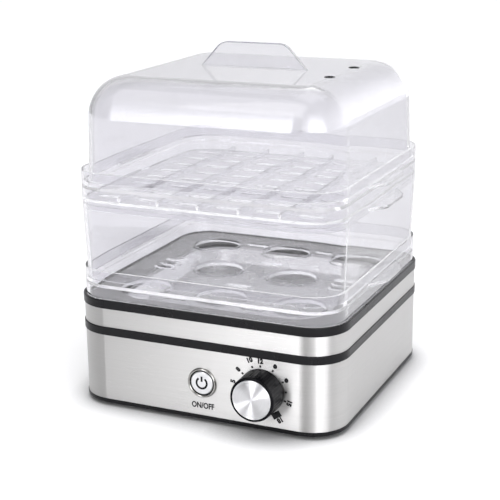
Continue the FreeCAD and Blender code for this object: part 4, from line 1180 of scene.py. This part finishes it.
@dataclass
class PlainNodes:
    """Every CAD node, dressed by its record slot. The ones in smooth are shown by merged copies."""

    smooth: tuple[str, ...] = ("base_pan", "mid_trim", "top_rim", "heating_dish", "dish_seal", "cable_inlet")

    def build(self) -> None:
        """Dresses the CAD nodes."""
        finishes = {kind.value.name: kind for kind in Slot}
        for name, node in frame["nodes"].items():
            slot_name = node.material_slots[0].material.name.split(".")[0]
            kind = finishes[slot_name]
            if name in self.smooth:
                merged_copy(name, kind)
            node.material_slots[0].material = material_of(kind)


# ---------------------------------------------------------------- studio


@dataclass
class Studio:
    """A pale floor, a pale surround, soft lights and the camera."""

    azimuth_deg: float = 24.19
    elevation_deg: float = 16.28
    roll_deg: float = -0.57
    distance: float = 0.8583
    across: float = -0.00445
    upward: float = 0.07977
    aim: Point = (0.0, 0.00695, 0.005)
    lens_mm: float = 90.0
    floor_half: float = 8.0
    floor_points: int = 9
    floor_drop: float = 0.05 * MM
    glow: float = 0.74
    zenith: Colour = (0.75, 0.75, 0.77)
    zenith_from: float = 0.25
    zenith_to: float = 0.75
    backdrop: Colour = (1.35, 1.35, 1.35)
    blueness: float = 1.03
    strips: Steps = (
        (-180.0, 1.5), (-120.0, 0.9), (-78.0, 0.5), (-52.0, 0.1), (-36.0, 0.0), (-31.0, 0.1), (-27.0, 4.0),
        (-21.0, 11.0), (-16.0, 10.0), (-11.0, 0.2), (5.0, 0.1), (20.0, 3.0), (38.0, 11.0), (55.0, 9.0),
        (78.0, 2.0), (100.0, 2.8), (130.0, 3.0), (156.0, 2.5), (180.0, 1.5))

    def build(self) -> None:
        """Builds the floor, the surround, the lights and the camera."""
        self.floor()
        self.surround()
        self.soft_light("key", 5.0, 1.0, (-0.2, -0.9, 1.45), (1.0, 0.99, 0.97))
        self.soft_light("top", 3.0, 1.0, (0.1, 0.3, 1.6), (1.0, 1.0, 1.0))
        self.camera()

    def floor(self) -> None:
        """Lays the floor: a flat grid of points, a hair under the feet."""
        edge = np.linspace(-self.floor_half, self.floor_half, self.floor_points)
        x, y = np.meshgrid(edge, edge)
        mesh = bpy.data.meshes.new("floor")
        points = np.stack((x.ravel(), y.ravel(), np.full(x.size, -self.floor_drop)), axis=1)
        faces = grid_faces(self.floor_points, self.floor_points, False, False)
        mesh.from_pydata(points.tolist(), [], faces.tolist())
        made = bpy.data.objects.new("floor", mesh)
        bpy.context.scene.collection.objects.link(made)
        finish = Paper("floor_paper", (0.95, 0.95, 0.95), 0.9, 0.0, (("Specular IOR Level", 0.0),))
        mesh.materials.append(finish.make())

    def surround(self) -> None:
        """Paints the surround: bright and dark strips by heading, and one grey overhead.

        Where it is looked at directly, or through the clear pieces, it is a plain backdrop instead.
        """
        world = bpy.data.worlds.new("surround")
        bpy.context.scene.world = world
        world.use_nodes = True
        sketch = Sketch(world.node_tree)
        background = world.node_tree.nodes["Background"]
        way = sketch.add("SeparateXYZ", {0: sketch.add("TexCoord").outputs["Generated"]})
        heading = sketch.maths("ARCTAN2", way.outputs["X"], sketch.maths("MULTIPLY", way.outputs["Y"], -1.0))
        ramp = sketch.add("ValToRGB", {0: sketch.fit(heading, -math.pi, math.pi, 0.0, 1.0)})
        ramp.color_ramp.interpolation = "EASE"
        while len(ramp.color_ramp.elements) < len(self.strips):
            ramp.color_ramp.elements.new(0.5)
        for stop, (degrees, brightness) in zip(ramp.color_ramp.elements, self.strips):
            stop.position = (degrees + 180.0) / 360.0
            stop.color = (brightness, brightness, brightness * self.blueness, 1.0)
        height = sketch.fit(way.outputs["Z"], self.zenith_from, self.zenith_to, 0.0, 1.0)
        tone = sketch.blend(height, ramp.outputs["Color"], (*self.zenith, 1.0))
        path = sketch.add("LightPath").outputs
        seen = sketch.maths("MAXIMUM", path["Is Camera Ray"], path["Is Transmission Ray"])
        shown = sketch.blend(seen, tone, (*self.backdrop, 1.0))
        world.node_tree.links.new(shown, background.inputs["Color"])
        background.inputs["Strength"].default_value = self.glow

    def soft_light(self, name: str, power: float, side: float, place: Point, colour: Colour) -> None:
        """Hangs a square light that looks at the object's middle.

        Args:
            name: the light's name.
            power: its power in watts.
            side: its side in metres.
            place: where it hangs.
            colour: its colour.
        """
        light = bpy.data.lights.new(name, "AREA")
        light.energy = power
        light.size = side
        light.color = colour
        lamp = bpy.data.objects.new(name, light)
        bpy.context.scene.collection.objects.link(lamp)
        lamp.location = place
        middle = (cad_low + cad_high) / 2
        lamp.rotation_euler = (Vector(place) - middle).to_track_quat("Z", "Y").to_euler()
        lamp.visible_camera = False

    def camera(self) -> None:
        """Sets the camera from its azimuth, elevation, roll and distance."""
        angles = (self.azimuth_deg, self.elevation_deg, self.roll_deg)
        azimuth, elevation, roll = (math.radians(angle) for angle in angles)
        level_reach = math.cos(elevation)
        back = Vector((math.sin(azimuth) * level_reach, -math.cos(azimuth) * level_reach,
                       math.sin(elevation)))
        right = Vector((math.cos(azimuth), math.sin(azimuth), 0.0))
        above = back.cross(right)
        level = math.cos(roll) * right + math.sin(roll) * above
        upright = math.cos(roll) * above - math.sin(roll) * right
        data = bpy.data.cameras.new("camera")
        data.lens = self.lens_mm
        data.clip_start = 0.02
        data.clip_end = 40.0
        camera = bpy.data.objects.new("camera", data)
        bpy.context.scene.collection.objects.link(camera)
        turn = Matrix((level, upright, back)).transposed().to_4x4()
        place = Vector(self.aim) + back * self.distance + self.across * level + self.upward * upright
        camera.matrix_world = Matrix.Translation(place) @ turn
        bpy.context.scene.camera = camera
        bpy.context.scene.view_settings.view_transform = "Standard"


def main() -> None:
    """Builds every sub-assembly in order."""
    logging.basicConfig(level=logging.INFO, format="%(message)s")
    for part in (SteelWrap(), Dial(), PushButton(), TimerScale(), ClearStack(), PlainNodes(), Studio()):
        part.build()
        LOG.info("built %s", type(part).__name__)


if __name__ == "__main__":
    main()
